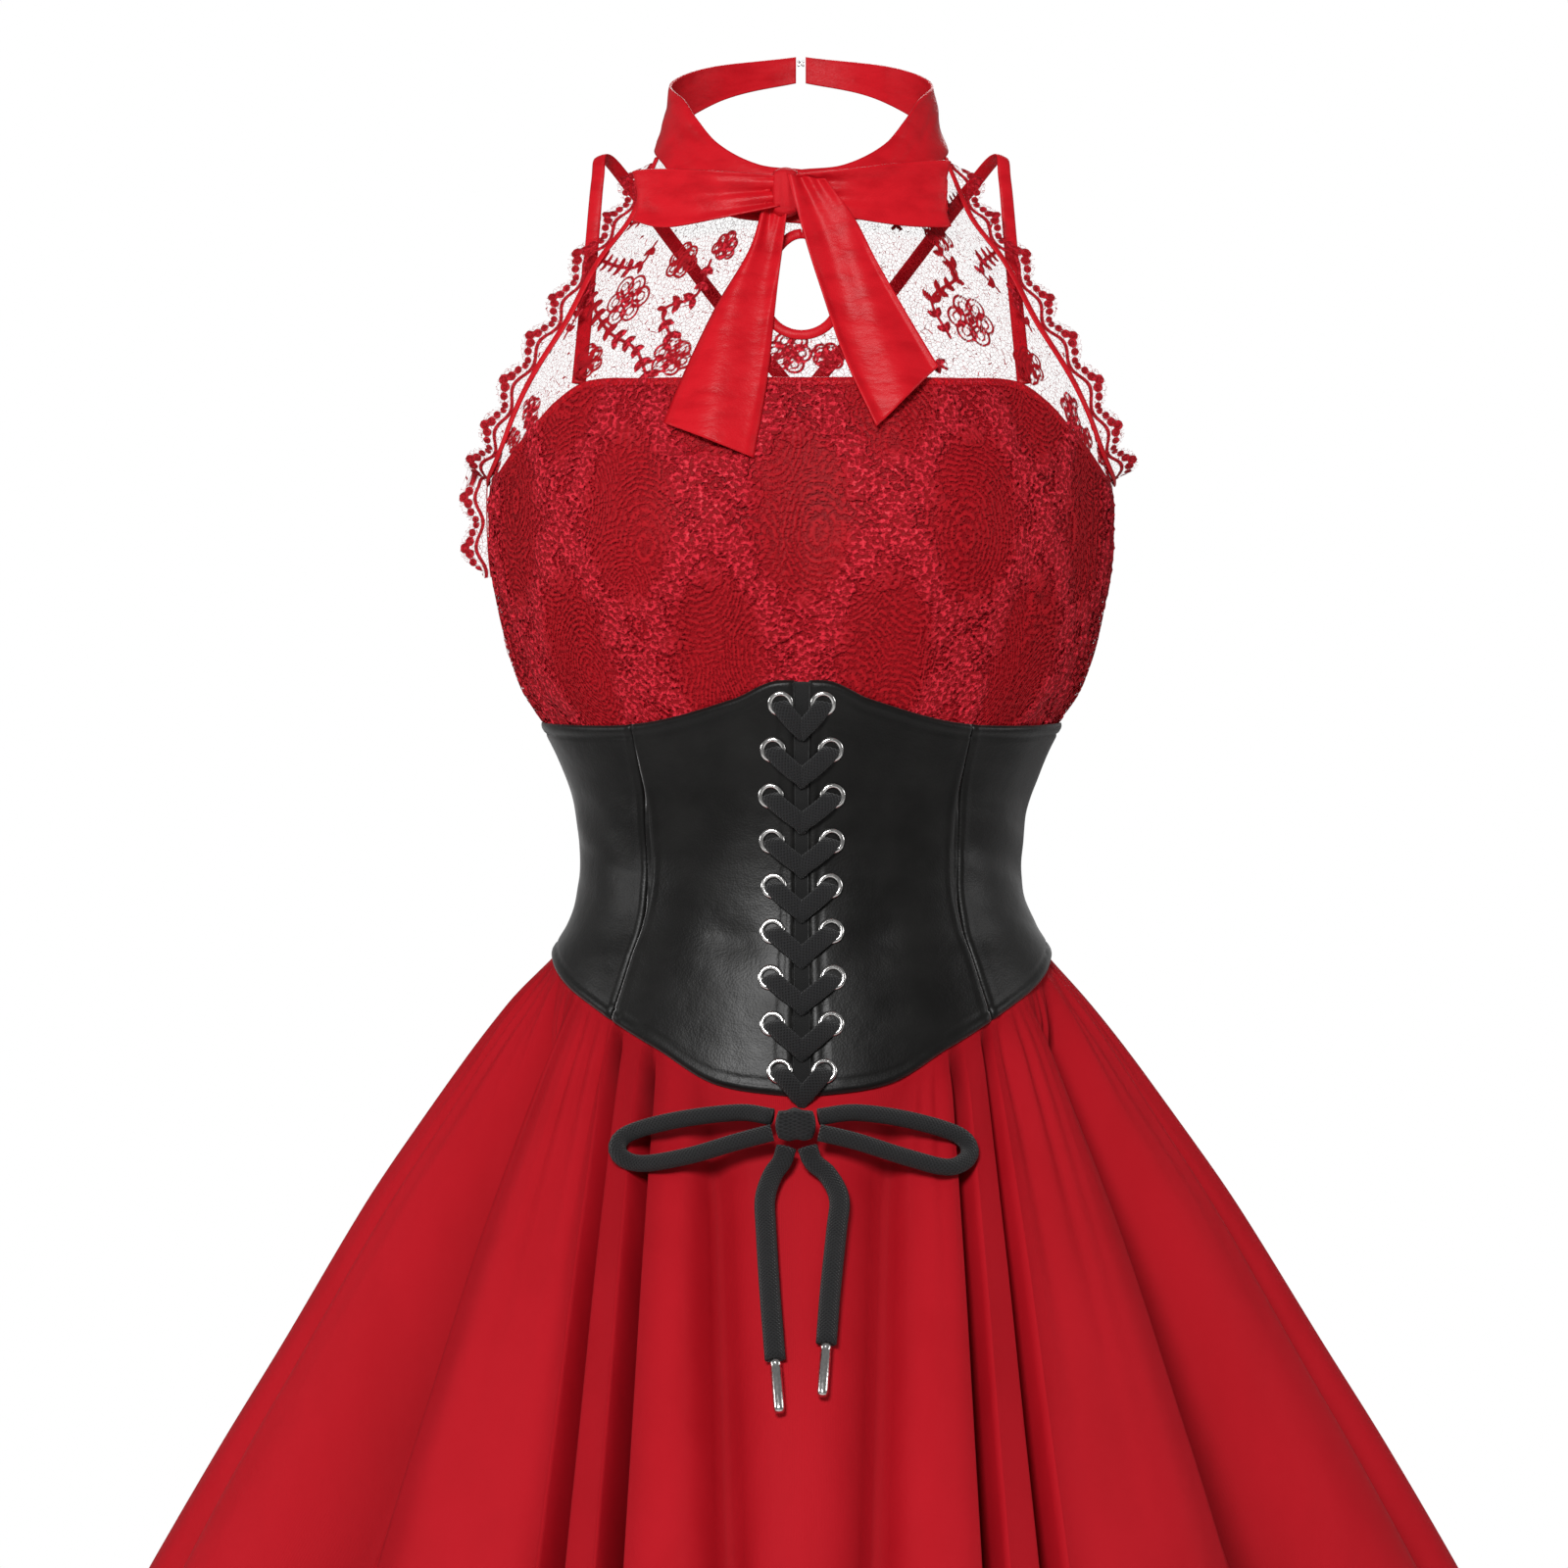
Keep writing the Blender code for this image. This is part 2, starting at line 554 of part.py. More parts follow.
def distance_to(point, polygon):
    """Distance from a flat point to a polygon's edge."""
    best = 1.0
    for start, end in zip(polygon, polygon[1:] + polygon[:1]):
        side = Vector((end[0] - start[0], end[1] - start[1]))
        offset = Vector((point[0] - start[0], point[1] - start[1]))
        share = min(1.0, max(0.0, offset.dot(side) / max(side.length_squared, 1e-12)))
        best = min(best, (offset - side * share).length)
    return best


def make_collar(owner):
    """Satin neckband in three pieces, open at the nape."""
    def top(a):
        return edge(COLLAR_TOP, a)

    def bottom(a):
        return edge(COLLAR_BOTTOM, a)

    front, back = COLLAR_SEAM - COLLAR_SEAM_GAP, COLLAR_SEAM + COLLAR_SEAM_GAP
    nape = 180 - NAPE_OPENING
    band("collar_front", angles(-front, front), bottom, top, 2, COLLAR_WALL, "satin", owner)
    for name, first, last in (("collar_back_right", back, nape), ("collar_back_left", -nape, -back)):
        band(name, angles(first, last), bottom, top, 2, COLLAR_WALL, "satin", owner)


def make_bodice(owner):
    """Solid bodice under the lace, the lace front with its yoke, and the plain back."""
    columns = angles(-90, 90)
    steps = 8

    def lining_bottom(a):
        return edge(CORSET_TOP, a) - TUCK

    def lining_top(a):
        return edge(LINING_TOP, a)

    band("bodice_front", columns, lining_bottom, lining_top, steps, LINING, "lining", owner)

    def back_top(a):
        return BACK_TOP_Z

    back = angles(90.2, 269.8)
    band("bodice_back", back, lining_bottom_back, back_top, 4, LINING, "lining", owner)

    lining = panel_points(columns, lining_bottom, lining_top, steps)
    rows = steps + 1
    right = armhole_path()
    collar = [(a, edge(COLLAR_BOTTOM, a) + TUCK * 0.6) for a in angles(-70, 70)]
    outline = lining[0::rows] + [lining[-1]] + right[::-1] + collar[::-1]
    outline += mirrored(right) + [lining[rows - 1]]
    inner_right = shifted(right, -ARMHOLE_BAND)[1:]
    inner_right = [(min(a, 89.0), z) for a, z in inner_right]
    keyhole, ring = keyhole_outline(0.0), keyhole_outline(KEYHOLE_BAND)
    lining_tops = lining[rows - 1::rows]
    yoke = lining_tops[4:-4] + inner_right[-4::-1] + collar[::-1] + mirrored(inner_right[:-3])
    cells = lace_cells(yoke, ring)
    mesh_lines = [flat([lining[i * rows + j], lining[i * rows + j + 1]])
                  for i in range(len(columns)) for j in range(steps)]
    for i in range(len(columns) - 1):
        for j in range(rows):
            mesh_lines.append(flat([lining[i * rows + j], lining[(i + 1) * rows + j]]))
            if j < steps:
                mesh_lines.append(flat([lining[i * rows + j], lining[(i + 1) * rows + j + 1]]))
    bands = [flat(inner_right), flat(mirrored(inner_right)), flat(ring + ring[:1])]
    points, faces = cut_pattern(flat(outline), [flat(keyhole)] + cells, mesh_lines + bands, [])
    wall("lace_front", unflat(points), faces, on_torso, LACE, "lace", owner)
    ring_faces = loop_faces(len(ring))
    wall("keyhole_binding", keyhole + ring, ring_faces, on_torso, TRIM, "satin", owner)
    pairs = [pair for pair in zip(right[1:], inner_right)
             if all(z < edge(COLLAR_BOTTOM, a) - GAP for a, z in pair)]
    strip = [point for pair in pairs for point in pair]
    for side, points in (("right", strip), ("left", mirrored(strip))):
        faces = net_faces(len(pairs), 2)
        wall(f"armhole_binding_{side}", points, faces, on_torso, TRIM, "satin", owner)


def lining_bottom_back(a):
    """Lower edge of the bodice back, tucked into the corset."""
    return edge(CORSET_TOP, 180) - TUCK


def loop_faces(count):
    """Triangles of a ring whose inner points come first, then its outer ones."""
    faces = []
    for k in range(count):
        n = (k + 1) % count
        faces += [(k, count + k, count + n), (k, count + n, n)]
    return faces


def make_corset(owner):
    """Corset belt: fronts with eyelet holes, sides, back, and the panel behind the lacing."""
    def top(a):
        return edge(CORSET_TOP, a)

    def bottom(a):
        return edge(CORSET_BOTTOM, a)

    steps = EYELET_ROWS
    for name, sign in (("right", 1), ("left", -1)):
        columns = [FRONT_EDGE, 7.5, 15.0, 22.5, 30.0, 37.0]
        points = panel_points(columns, bottom, top, steps)
        points += seam_points(bottom, top, steps, -SEAM_GAP)
        count, rows = len(columns) + 1, steps + 1
        lines = [flat([points[i * rows + j], points[(i + 1) * rows + j]])
                 for i in range(count - 1) for j in range(rows)]
        outline = points[0::rows] + points[-rows:][1:]
        outline += points[rows - 1::rows][::-1][1:] + points[1:rows - 1][::-1]
        holes = [flat(eyelet_hole(row)) for row in range(EYELET_ROWS)]
        pattern, faces = cut_pattern(flat(outline), holes, lines, [])
        pattern = [(sign * a, z) for a, z in unflat(pattern)]
        if sign < 0:
            faces = [face[::-1] for face in faces]
        wall(f"corset_front_{name}", pattern, faces, on_torso, CORSET, "leather", owner)
        side = seam_points(bottom, top, steps, SEAM_GAP)
        side += panel_points(angles(46.0, SIDE_BACK_SEAM - SEAM_GAP), bottom, top, steps)
        if sign < 0:
            side = [(-a, z) for i in range(len(side) - rows, -1, -rows) for a, z in side[i:i + rows]]
        faces = net_faces(len(side) // rows, rows)
        wall(f"corset_side_{name}", side, faces, on_torso, CORSET, "leather", owner)
    back = angles(SIDE_BACK_SEAM + SEAM_GAP, 360 - SIDE_BACK_SEAM - SEAM_GAP)

    def back_top(a):
        return edge(CORSET_TOP, 180)

    def back_bottom(a):
        return edge(CORSET_BOTTOM, 180)

    band("corset_back", back, back_bottom, back_top, steps, CORSET, "leather", owner)

    def placket_top(a):
        return edge(CORSET_TOP, a) - TUCK - GAP

    def placket_bottom(a):
        return edge(CORSET_BOTTOM, a) + SKIRT_TUCK + GAP

    band("placket", angles(-15, 15), placket_bottom, placket_top, steps, LACE, "braid", owner)


def seam_points(bottom, top, steps, shift):
    """Pattern points down the curved seam between the corset's front and side."""
    points = []
    for k in range(steps + 1):
        a = PRINCESS_DEGREES
        for _ in range(3):
            a = lookup(PRINCESS_SEAM, blend(bottom(a), top(a), k / steps), 1)
        points.append((a + shift, blend(bottom(a), top(a), k / steps)))
    return points


def eyelet_centre(row):
    """Distance from the centre front and height of the eyelets of a row, from the top."""
    x = EYELET_X[row]
    a = degrees_at(x, CORSET_TOP[0].z)
    share = (row + 0.5) / EYELET_ROWS
    return x, blend(edge(CORSET_TOP, a), edge(CORSET_BOTTOM, a), share)


def eyelet_hole(row):
    """Pattern outline of the hole under an eyelet."""
    x, z = eyelet_centre(row)
    outline = []
    for k in range(EYELET_SIDES):
        turn = 2 * math.pi * k / EYELET_SIDES
        height = z + EYELET_HOLE * math.sin(turn)
        outline.append((degrees_at(x + EYELET_HOLE * math.cos(turn), height), height))
    return outline


def make_eyelets(owner):
    """Two columns of metal eyelets, each a ring with a barrel through the corset."""
    for row in range(EYELET_ROWS):
        x, z = eyelet_centre(row)
        for name, sign in (("right", 1), ("left", -1)):
            mesh = bmesh.new()
            ring = [mesh.verts.new((radius, 0, height)) for radius, height in EYELET_PROFILE]
            edges = [mesh.edges.new((ring[k - 1], ring[k])) for k in range(len(ring))]
            bmesh.ops.spin(mesh, geom=ring + edges, cent=(0, 0, 0), axis=(0, 0, 1),
                           angle=2 * math.pi, steps=EYELET_SIDES, use_merge=True)
            piece = finish_object(f"eyelet_{name}_{row + 1}", mesh, "silver", owner)
            foot, tip = chest(sign * x, z, CORSET[1]), chest(sign * x, z, CORSET[1] + 0.01)
            piece.location = foot
            piece.rotation_euler = (tip - foot).to_track_quat("Z", "Y").to_euler()


def make_lacing(owner):
    """The lace where it shows on the corset: a stroke from each eyelet down to the centre."""
    right, left = [], []
    for row in range(EYELET_ROWS):
        x, z = eyelet_centre(row)
        right += [(LACING["spine"], z + 0.0005), (x + 0.002, z + 0.0042),
                  (x + 0.0035, z - 0.0015), (x - 0.001, z - 0.0060), (LACING["spine"], z - 0.0125)]
    left = [(-x, z) for x, z in right[::-1]]
    outline = [(degrees_at(x, z) * DEGREE_LENGTH, z) for x, z in right + left]
    spine = [(0.0, z) for _, z in (eyelet_centre(row) for row in range(EYELET_ROWS))]
    pattern, faces = cut_pattern(outline, [], [spine], [])
    wall("lacing", unflat(pattern), faces, on_torso, LACING_LAYER, "braid", owner)


def ribbon(name, path, facings, width, thickness, finish, owner):
    """Flat strip of an even width along a path, facing a given way at each point."""
    def place(k, across, out):
        before, after = path[max(k - 1, 0)], path[min(k + 1, len(path) - 1)]
        along = (after - before).normalized()
        side = along.cross(facings[k]).normalized()
        return path[k] + side * across * width / 2 + side.cross(along) * out

    points = [(k, across) for k in range(len(path)) for across in (-1, 1)]
    wall(name, points, net_faces(len(path), 2), place, (0, thickness), finish, owner)


def make_straps(owner):
    """Shoulder straps of the inner bodice, which cross behind the neck."""
    rows = [(k,) + tuple(row) for k, row in enumerate(STRAP)]
    steps = 2
    for name, sign in (("right", 1), ("left", -1)):
        path, facings = [], []
        for k in range(steps * (len(rows) - 1) + 1):
            x, y, z, fx, fy, fz = (lookup(rows, k / steps, column) for column in range(1, 7))
            above = STRAP_CROSSING * smooth(0.10, 0.02, abs(x)) if sign < 0 and y > 0.06 else 0.0
            path.append(Vector((sign * x, y + above, z)))
            facings.append(Vector((sign * fx, fy, fz)))
        ribbon(f"strap_{name}", path, facings, STRAP_WIDTH, STRAP_WALL, "satin", owner)


def make_edging(owner):
    """Scalloped lace edge that stands out round each armhole."""
    path = armhole_path(EDGING_STEP)
    base = [on_torso(a, z, LACE[0]) for a, z in path]
    for name, sign, drop in (("right", 1, 0.0), ("left", -1, SIDE_EDGING)):
        line = [p.copy() for p in base if p.z < -0.024]
        low = path[-1][1]
        line += [on_torso(90, low - EDGING_STEP * (k + 1), LACE[1] + 2 * GAP)
                 for k in range(int(drop / EDGING_STEP))]
        line = [Vector((sign * p.x, p.y, p.z)) for p in line]
        reach = [0.0]
        for before, after in zip(line, line[1:]):
            reach.append(reach[-1] + (after - before).length)

        def place(k, t, out):
            before, after = line[max(k - 1, 0)], line[min(k + 1, len(line) - 1)]
            along = (after - before).normalized()
            lean = Vector((sign * 0.9, 0.28, 0.25))
            outward = (lean - along * lean.dot(along)).normalized()
            facing = along.cross(outward).normalized() * -sign
            swell = abs(math.sin(math.pi * reach[k] / EDGING["pitch"]))
            taper = smooth(-0.004, 0.014, reach[k]) * smooth(-0.004, 0.014, reach[-1] - reach[k])
            width = (EDGING["width"] + EDGING["scallop"] * swell ** 0.7) * (0.25 + 0.75 * taper)
            return line[k] + outward * (GAP * 2 + t * width) + facing * out

        points = [(k, t) for k in range(len(line)) for t in (0.0, 1.0)]
        wall(f"edging_{name}", points, net_faces(len(line), 2), place, (0, EDGING_WALL), "lace", owner)


def rounded_block(name, half, finish, owner):
    """Block with rounded edges for a pulled-tight knot, by its half sizes."""
    mesh = bmesh.new()
    bmesh.ops.create_cube(mesh, size=2.0)
    bmesh.ops.scale(mesh, vec=half, verts=mesh.verts)
    bmesh.ops.bevel(mesh, geom=mesh.edges[:], offset=KNOT_ROUNDING, affect="EDGES", segments=2,
                    profile=0.5, material=-1)
    return finish_object(name, mesh, finish, owner)


def make_neck_bow(owner):
    """Satin bow at the front of the collar: knot, two loops and two tails."""
    knot = rounded_block("bow_knot", BOW_KNOT_HALF, "satin", owner)
    knot.location = BOW_KNOT
    for name, rows in (("left", BOW_LOOP_LEFT), ("right", BOW_LOOP_RIGHT)):
        table = [(k,) + tuple(row) for k, row in enumerate(rows)]
        count = 2 * (len(rows) - 1) + 1
        facing = -1 if name == "left" else 1

        def place(k, share, out):
            def at(t):
                return [lookup(table, t / 2, column) for column in range(1, 5)]
            x, y, top, bottom = at(k)
            before, after = at(max(k - 1, 0)), at(min(k + 1, count - 1))
            along = Vector((after[0] - before[0], after[1] - before[1], 0)).normalized()
            normal = along.cross(Vector((0, 0, 1))) * -facing
            belly = 0.0030 * math.sin(math.pi * share)
            return Vector((x, y, blend(bottom, top, share))) + normal * (belly + out)

        points = [(k, j / 3) for k in range(count) for j in range(4)]
        wall(f"bow_loop_{name}", points, net_faces(count, 4), place, (0, SATIN_WALL), "satin", owner)
    for name, rows in (("left", BOW_TAIL_LEFT), ("right", BOW_TAIL_RIGHT)):
        table = [(k,) + tuple(row) for k, row in enumerate(rows)]

        def place(k, share, out):
            left_x, left_z, right_x, right_z, lift = (lookup(table, k / 2, c) for c in range(1, 6))
            x, z = blend(left_x, right_x, share), blend(left_z, right_z, share)
            curl = 0.0025 * math.cos(2 * math.pi * share + 0.5 * k)
            return chest(x, z, 0) + Vector((0, -lift - curl - out, 0))

        count = 2 * (len(rows) - 1) + 1
        points = [(k, j / 3) for k in range(count) for j in range(4)]
        wall(f"bow_tail_{name}", points, net_faces(count, 4), place, (0, SATIN_WALL), "satin", owner)


def smooth_path(points, spacing):
    """Evenly spaced points on one smooth curve through the given points."""
    table = [(k,) + tuple(point) for k, point in enumerate(points)]
    fine = [Vector([lookup(table, t / 40, column) for column in (1, 2, 3)])
            for t in range(40 * (len(points) - 1) + 1)]
    lengths = [0.0]
    for before, after in zip(fine, fine[1:]):
        lengths.append(lengths[-1] + (after - before).length)
    count = max(2, round(lengths[-1] / spacing))
    path = []
    for k in range(count + 1):
        goal = lengths[-1] * k / count
        index = max(i for i, length in enumerate(lengths) if length <= goal + 1e-9)
        path.append(fine[index])
    return path


def cord(name, path, radius, finish, owner):
    """Round cord along a path, as a curve with filled caps."""
    data = bpy.data.curves.new(name, "CURVE")
    data.dimensions = "3D"
    data.bevel_depth = radius
    data.bevel_resolution = CORD_RESOLUTION
    data.render_resolution_u = 0
    data.use_fill_caps = True
    spline = data.splines.new("POLY")
    spline.points.add(len(path) - 1)
    for point, place in zip(spline.points, path):
        point.co = (*place, 1)
    piece = bpy.data.objects.new(name, data)
    dress_object(piece, finish, owner)
    return piece


def make_lacing_bow(owner):
    """Bow tied in the lace below the corset: knot, two loops and two tails with metal tips."""
    knot = rounded_block("lacing_knot", KNOT_HALF, "braid", owner)
    knot.location = front_of_skirt(KNOT_X, KNOT_Z, KNOT_LIFT)
    facing = knot.location - front_of_skirt(KNOT_X, KNOT_Z, 0.0)
    knot.rotation_euler = (Vector((0, facing.y, facing.z))).to_track_quat("-Y", "Z").to_euler()
    for name, route in (("left", LOOP_ROUTE_LEFT), ("right", LOOP_ROUTE_RIGHT)):
        points = [front_of_skirt(x, z, out) for x, z, out in route]
        cord(f"lacing_loop_{name}", smooth_path(points, CORD_STEP), CORD_RADIUS, "braid", owner)
    for name, route in (("left", TAIL_ROUTE_LEFT), ("right", TAIL_ROUTE_RIGHT)):
        points = [front_of_skirt(x, z, out) for x, z, out in route]
        path = smooth_path(points, CORD_STEP)
        cord(f"lacing_tail_{name}", path, CORD_RADIUS, "braid", owner)
        along = (path[-1] - path[-2]).normalized()
        mesh = bmesh.new()
        bmesh.ops.create_cone(mesh, cap_ends=True, segments=AGLET["sides"], depth=AGLET["length"],
                              radius1=AGLET["radius"], radius2=AGLET["radius"] * 0.86)
        piece = finish_object(f"aglet_{name}", mesh, "silver", owner)
        piece.location = path[-1] + along * (GAP + AGLET["length"] / 2)
        piece.rotation_euler = along.to_track_quat("Z", "Y").to_euler()


def make_nape_clasp(owner):
    """Small wire hook and eye that close the collar at the nape."""
    for name, sign in (("nape_hook", 1), ("nape_eye", -1)):
        z = edge(COLLAR_TOP, 180) - 0.004
        start = on_torso(180 - sign * NAPE_OPENING, z, (COLLAR_WALL[0] + COLLAR_WALL[1]) / 2)
        reach = start.x - sign * (0.0003 + CLASP_WIRE)
        path = [Vector((reach, start.y, z - 0.0012)), Vector((reach - sign * 0.0009, start.y, z - 0.0006)),
                Vector((reach - sign * 0.0011, start.y, z + 0.0006)), Vector((reach, start.y, z + 0.0012))]
        cord(name, path, CLASP_WIRE, "silver", owner)


def make_skirt(owner):
    """Flared skirt in a front and a back, gathered into folds under the corset."""
    def columns(folds, stops, first, last):
        found = {first, last}
        for fold in folds:
            for stop in stops:
                width = fold.outer_width if stop > 0 else fold.inner_width
                found.add(fold.hem + stop * width)
        ordered = sorted(found)
        kept = [ordered[0]]
        for a in ordered[1:]:
            if a - kept[-1] > 1.1 and a <= last:
                kept.append(a)
        kept[-1] = last
        filled = [kept[0]]
        for a in kept[1:]:
            low = filled[-1]
            wide = math.ceil((a - low) / WIDEST_COLUMN)
            if a < 90:
                wide = max(wide, math.ceil((top_angle(a) - top_angle(low)) / WIDEST_AT_TOP))
            filled += [blend(low, a, k / wide) for k in range(1, wide + 1)]
        return filled

    shares = [-1.0, 0.0] + [((k + 1) / SKIRT_ROWS) ** 1.15 for k in range(SKIRT_ROWS)]
    front = columns(FRONT_FOLDS, FRONT_STOPS, 0.0, 90.0 - SIDE_SEAM)
    back = columns(BACK_FOLDS, BACK_STOPS, 90.0 + SIDE_SEAM, 179.999)
    panels = (("skirt_front", [-a for a in front[:0:-1]] + front),
              ("skirt_back", back + [-a for a in back[-2::-1]]))
    for name, hems in panels:
        points = [(a, share) for a in hems for share in shares[::-1]]
        faces = net_faces(len(hems), len(shares))
        wall(name, points, faces, on_skirt, (-SKIRT_WALL, 0), "skirt", owner)


def clear_scene():
    """Removes what a new Blender scene holds."""
    for item in list(bpy.data.objects):
        bpy.data.objects.remove(item)


def main():
    """Builds the dress."""
    clear_scene()
    owner = bpy.data.objects.new("dress", None)
    bpy.context.collection.objects.link(owner)
    for make in (make_collar, make_bodice, make_corset, make_eyelets, make_lacing, make_straps,
                 make_edging, make_neck_bow, make_lacing_bow, make_nape_clasp, make_skirt):
        make(owner)


main()
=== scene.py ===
"""Looks of the corset dress: satin, lace, leather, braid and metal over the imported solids."""
import bisect
import logging
import math
from dataclasses import dataclass, field
from enum import Enum
from typing import Callable, Sequence

import bmesh
import bpy
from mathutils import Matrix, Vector, noise


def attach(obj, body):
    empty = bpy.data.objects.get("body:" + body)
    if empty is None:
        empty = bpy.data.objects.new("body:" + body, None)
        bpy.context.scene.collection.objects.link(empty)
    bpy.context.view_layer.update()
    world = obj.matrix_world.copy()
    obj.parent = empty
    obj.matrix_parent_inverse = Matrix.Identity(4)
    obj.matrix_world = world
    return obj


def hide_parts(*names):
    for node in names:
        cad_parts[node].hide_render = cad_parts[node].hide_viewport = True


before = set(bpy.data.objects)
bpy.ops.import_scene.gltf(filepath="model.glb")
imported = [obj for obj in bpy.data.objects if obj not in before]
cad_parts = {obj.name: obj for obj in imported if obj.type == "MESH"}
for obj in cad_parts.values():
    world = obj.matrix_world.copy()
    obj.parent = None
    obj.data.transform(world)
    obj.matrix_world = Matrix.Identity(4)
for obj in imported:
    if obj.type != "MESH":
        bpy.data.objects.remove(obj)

LOG = logging.getLogger("corset_dress")
BODY = "root"
DEGREE = 0.0026  # metres of the flat lace for one degree round the body
BIN = 0.008  # cell in which the points near a motif are looked up
Place = Callable[[float, float], Vector]


class Slot(Enum):
    """Material slots of the record that the pieces take their finish from."""

    SATIN = "red_satin"
    LACE = "red_lace"
    LINING = "red_lining"
    SKIRT = "red_skirt_cloth"
    LEATHER = "black_leather"
    CLOTH = "black_cloth"
    BRAID = "black_braid"
    SILVER = "silver_metal"


class Side(Enum):
    """Sides of the dress, as someone who looks at its front sees them."""

    LEFT = -1
    RIGHT = 1

    @property
    def word(self) -> str:
        """Name of the side in lower case."""
        return self.name.lower()


def blend(low: float, high: float, share: float) -> float:
    """Value a share of the way from low to high."""
    return low + (high - low) * share


def smooth(low: float, high: float, value: float) -> float:
    """Smooth step from 0 at low to 1 at high."""
    share = min(1.0, max(0.0, (value - low) / (high - low)))
    return share * share * (3 - 2 * share)


def bell(value: float, width: float) -> float:
    """Bell curve of height 1 at 0, which has nearly gone at twice its width."""
    return math.exp(-((value / width) ** 2))


class Table:
    """Smooth curve through rows of numbers, looked up by their first column."""

    def __init__(self, rows: Sequence[Sequence[float]]) -> None:
        """Keeps the rows, which rise in their first column.

        Args:
            rows: Rows of numbers, each a key and its values.
        """
        self.rows = [tuple(row) for row in rows]
        self.keys = [row[0] for row in self.rows]

    def at(self, key: float, column: int = 1) -> float:
        """Value of a column at a key.

        Args:
            key: Where on the curve, by its first column.
            column: Which column is wanted.

        Returns:
            The value there, and the end row's value past either end.
        """
        rows, last = self.rows, len(self.rows) - 1
        if key <= self.keys[0]:
            return rows[0][column]
        if key >= self.keys[last]:
            return rows[last][column]
        index = bisect.bisect_right(self.keys, key) - 1
        low, high = rows[index], rows[index + 1]
        before, after = rows[max(index - 1, 0)], rows[min(index + 2, last)]
        span = high[0] - low[0]
        s = (key - low[0]) / span
        first = span * (high[column] - before[column]) / (high[0] - before[0])
        second = span * (after[column] - low[column]) / (after[0] - low[0])
        bend = s * s * (3 - 2 * s)
        rise = first * (s ** 3 - 2 * s * s + s) + second * (s ** 3 - s * s)
        return low[column] + (high[column] - low[column]) * bend + rise


def along(points: Sequence[Sequence[float]], share: float) -> list[float]:
    """Point of a smooth curve through given points.

    Args:
        points: The points, as any number of coordinates each.
        share: How far along, from 0 at the first to 1 at the last.

    Returns:
        The coordinates there.
    """
    table = Table([(k, *point) for k, point in enumerate(points)])
    return [table.at(share * (len(points) - 1), c) for c in range(1, len(points[0]) + 1)]


def route_length(route: Sequence[Vector]) -> float:
    """Length of a route through all its points."""
    return sum((after - before).length for before, after in zip(route, route[1:]))


def even_route(points: Sequence[Vector], spacing: float) -> list[Vector]:
    """Evenly spaced points on one smooth curve through the given points.

    Args:
        points: Points that the curve passes through.
        spacing: Distance wanted between its new points.

    Returns:
        The new points, first and last included.
    """
    fine = [Vector(along(points, k / 400)) for k in range(401)]
    lengths = [0.0]
    for before, after in zip(fine, fine[1:]):
        lengths.append(lengths[-1] + (after - before).length)
    count = max(2, round(lengths[-1] / spacing))
    return [fine[bisect.bisect_right(lengths, lengths[-1] * k / count + 1e-9) - 1]
            for k in range(count + 1)]


class Signal:
    """One value in a shader, with arithmetic that adds Math nodes."""

    def __init__(self, shader: "Shader", socket: bpy.types.NodeSocket) -> None:
        """Wraps an output socket.

        Args:
            shader: The shader that the socket belongs to.
            socket: The output that holds the value.
        """
        self.shader = shader
        self.socket = socket

    def math(self, operation: str, *others: "Signal | float") -> "Signal":
        """Adds a Math node that starts with this value.

        Args:
            operation: The Math node's operation.
            others: The other values.

        Returns:
            The node's result.
        """
        values = dict(enumerate((self, *others)))
        return self.shader.node("ShaderNodeMath", {"operation": operation}, values)

    def __add__(self, other: "Signal | float") -> "Signal":
        """Sum."""
        return self.math("ADD", other)

    def __sub__(self, other: "Signal | float") -> "Signal":
        """Difference."""
        return self.math("SUBTRACT", other)

    def __rsub__(self, other: float) -> "Signal":
        """Difference from a number."""
        return (self * -1.0) + other

    def __mul__(self, other: "Signal | float") -> "Signal":
        """Product."""
        return self.math("MULTIPLY", other)

    def __truediv__(self, other: "Signal | float") -> "Signal":
        """Quotient."""
        return self.math("DIVIDE", other)

    __radd__ = __add__
    __rmul__ = __mul__

    def size(self) -> "Signal":
        """Value without its sign."""
        return self.math("ABSOLUTE")

    def sine(self) -> "Signal":
        """Sine of the value in radians."""
        return self.math("SINE")

    def most(self, other: "Signal | float") -> "Signal":
        """The larger of two values."""
        return self.math("MAXIMUM", other)

    def step(self, low: float, high: float) -> "Signal":
        """Smooth step of the value between two bounds.

        Args:
            low: Where the result is 0.
            high: Where the result is 1.

        Returns:
            The stepped value.
        """
        values = {"Value": self, "From Min": low, "From Max": high}
        settings = {"interpolation_type": "SMOOTHSTEP"}
        return self.shader.node("ShaderNodeMapRange", settings, values)


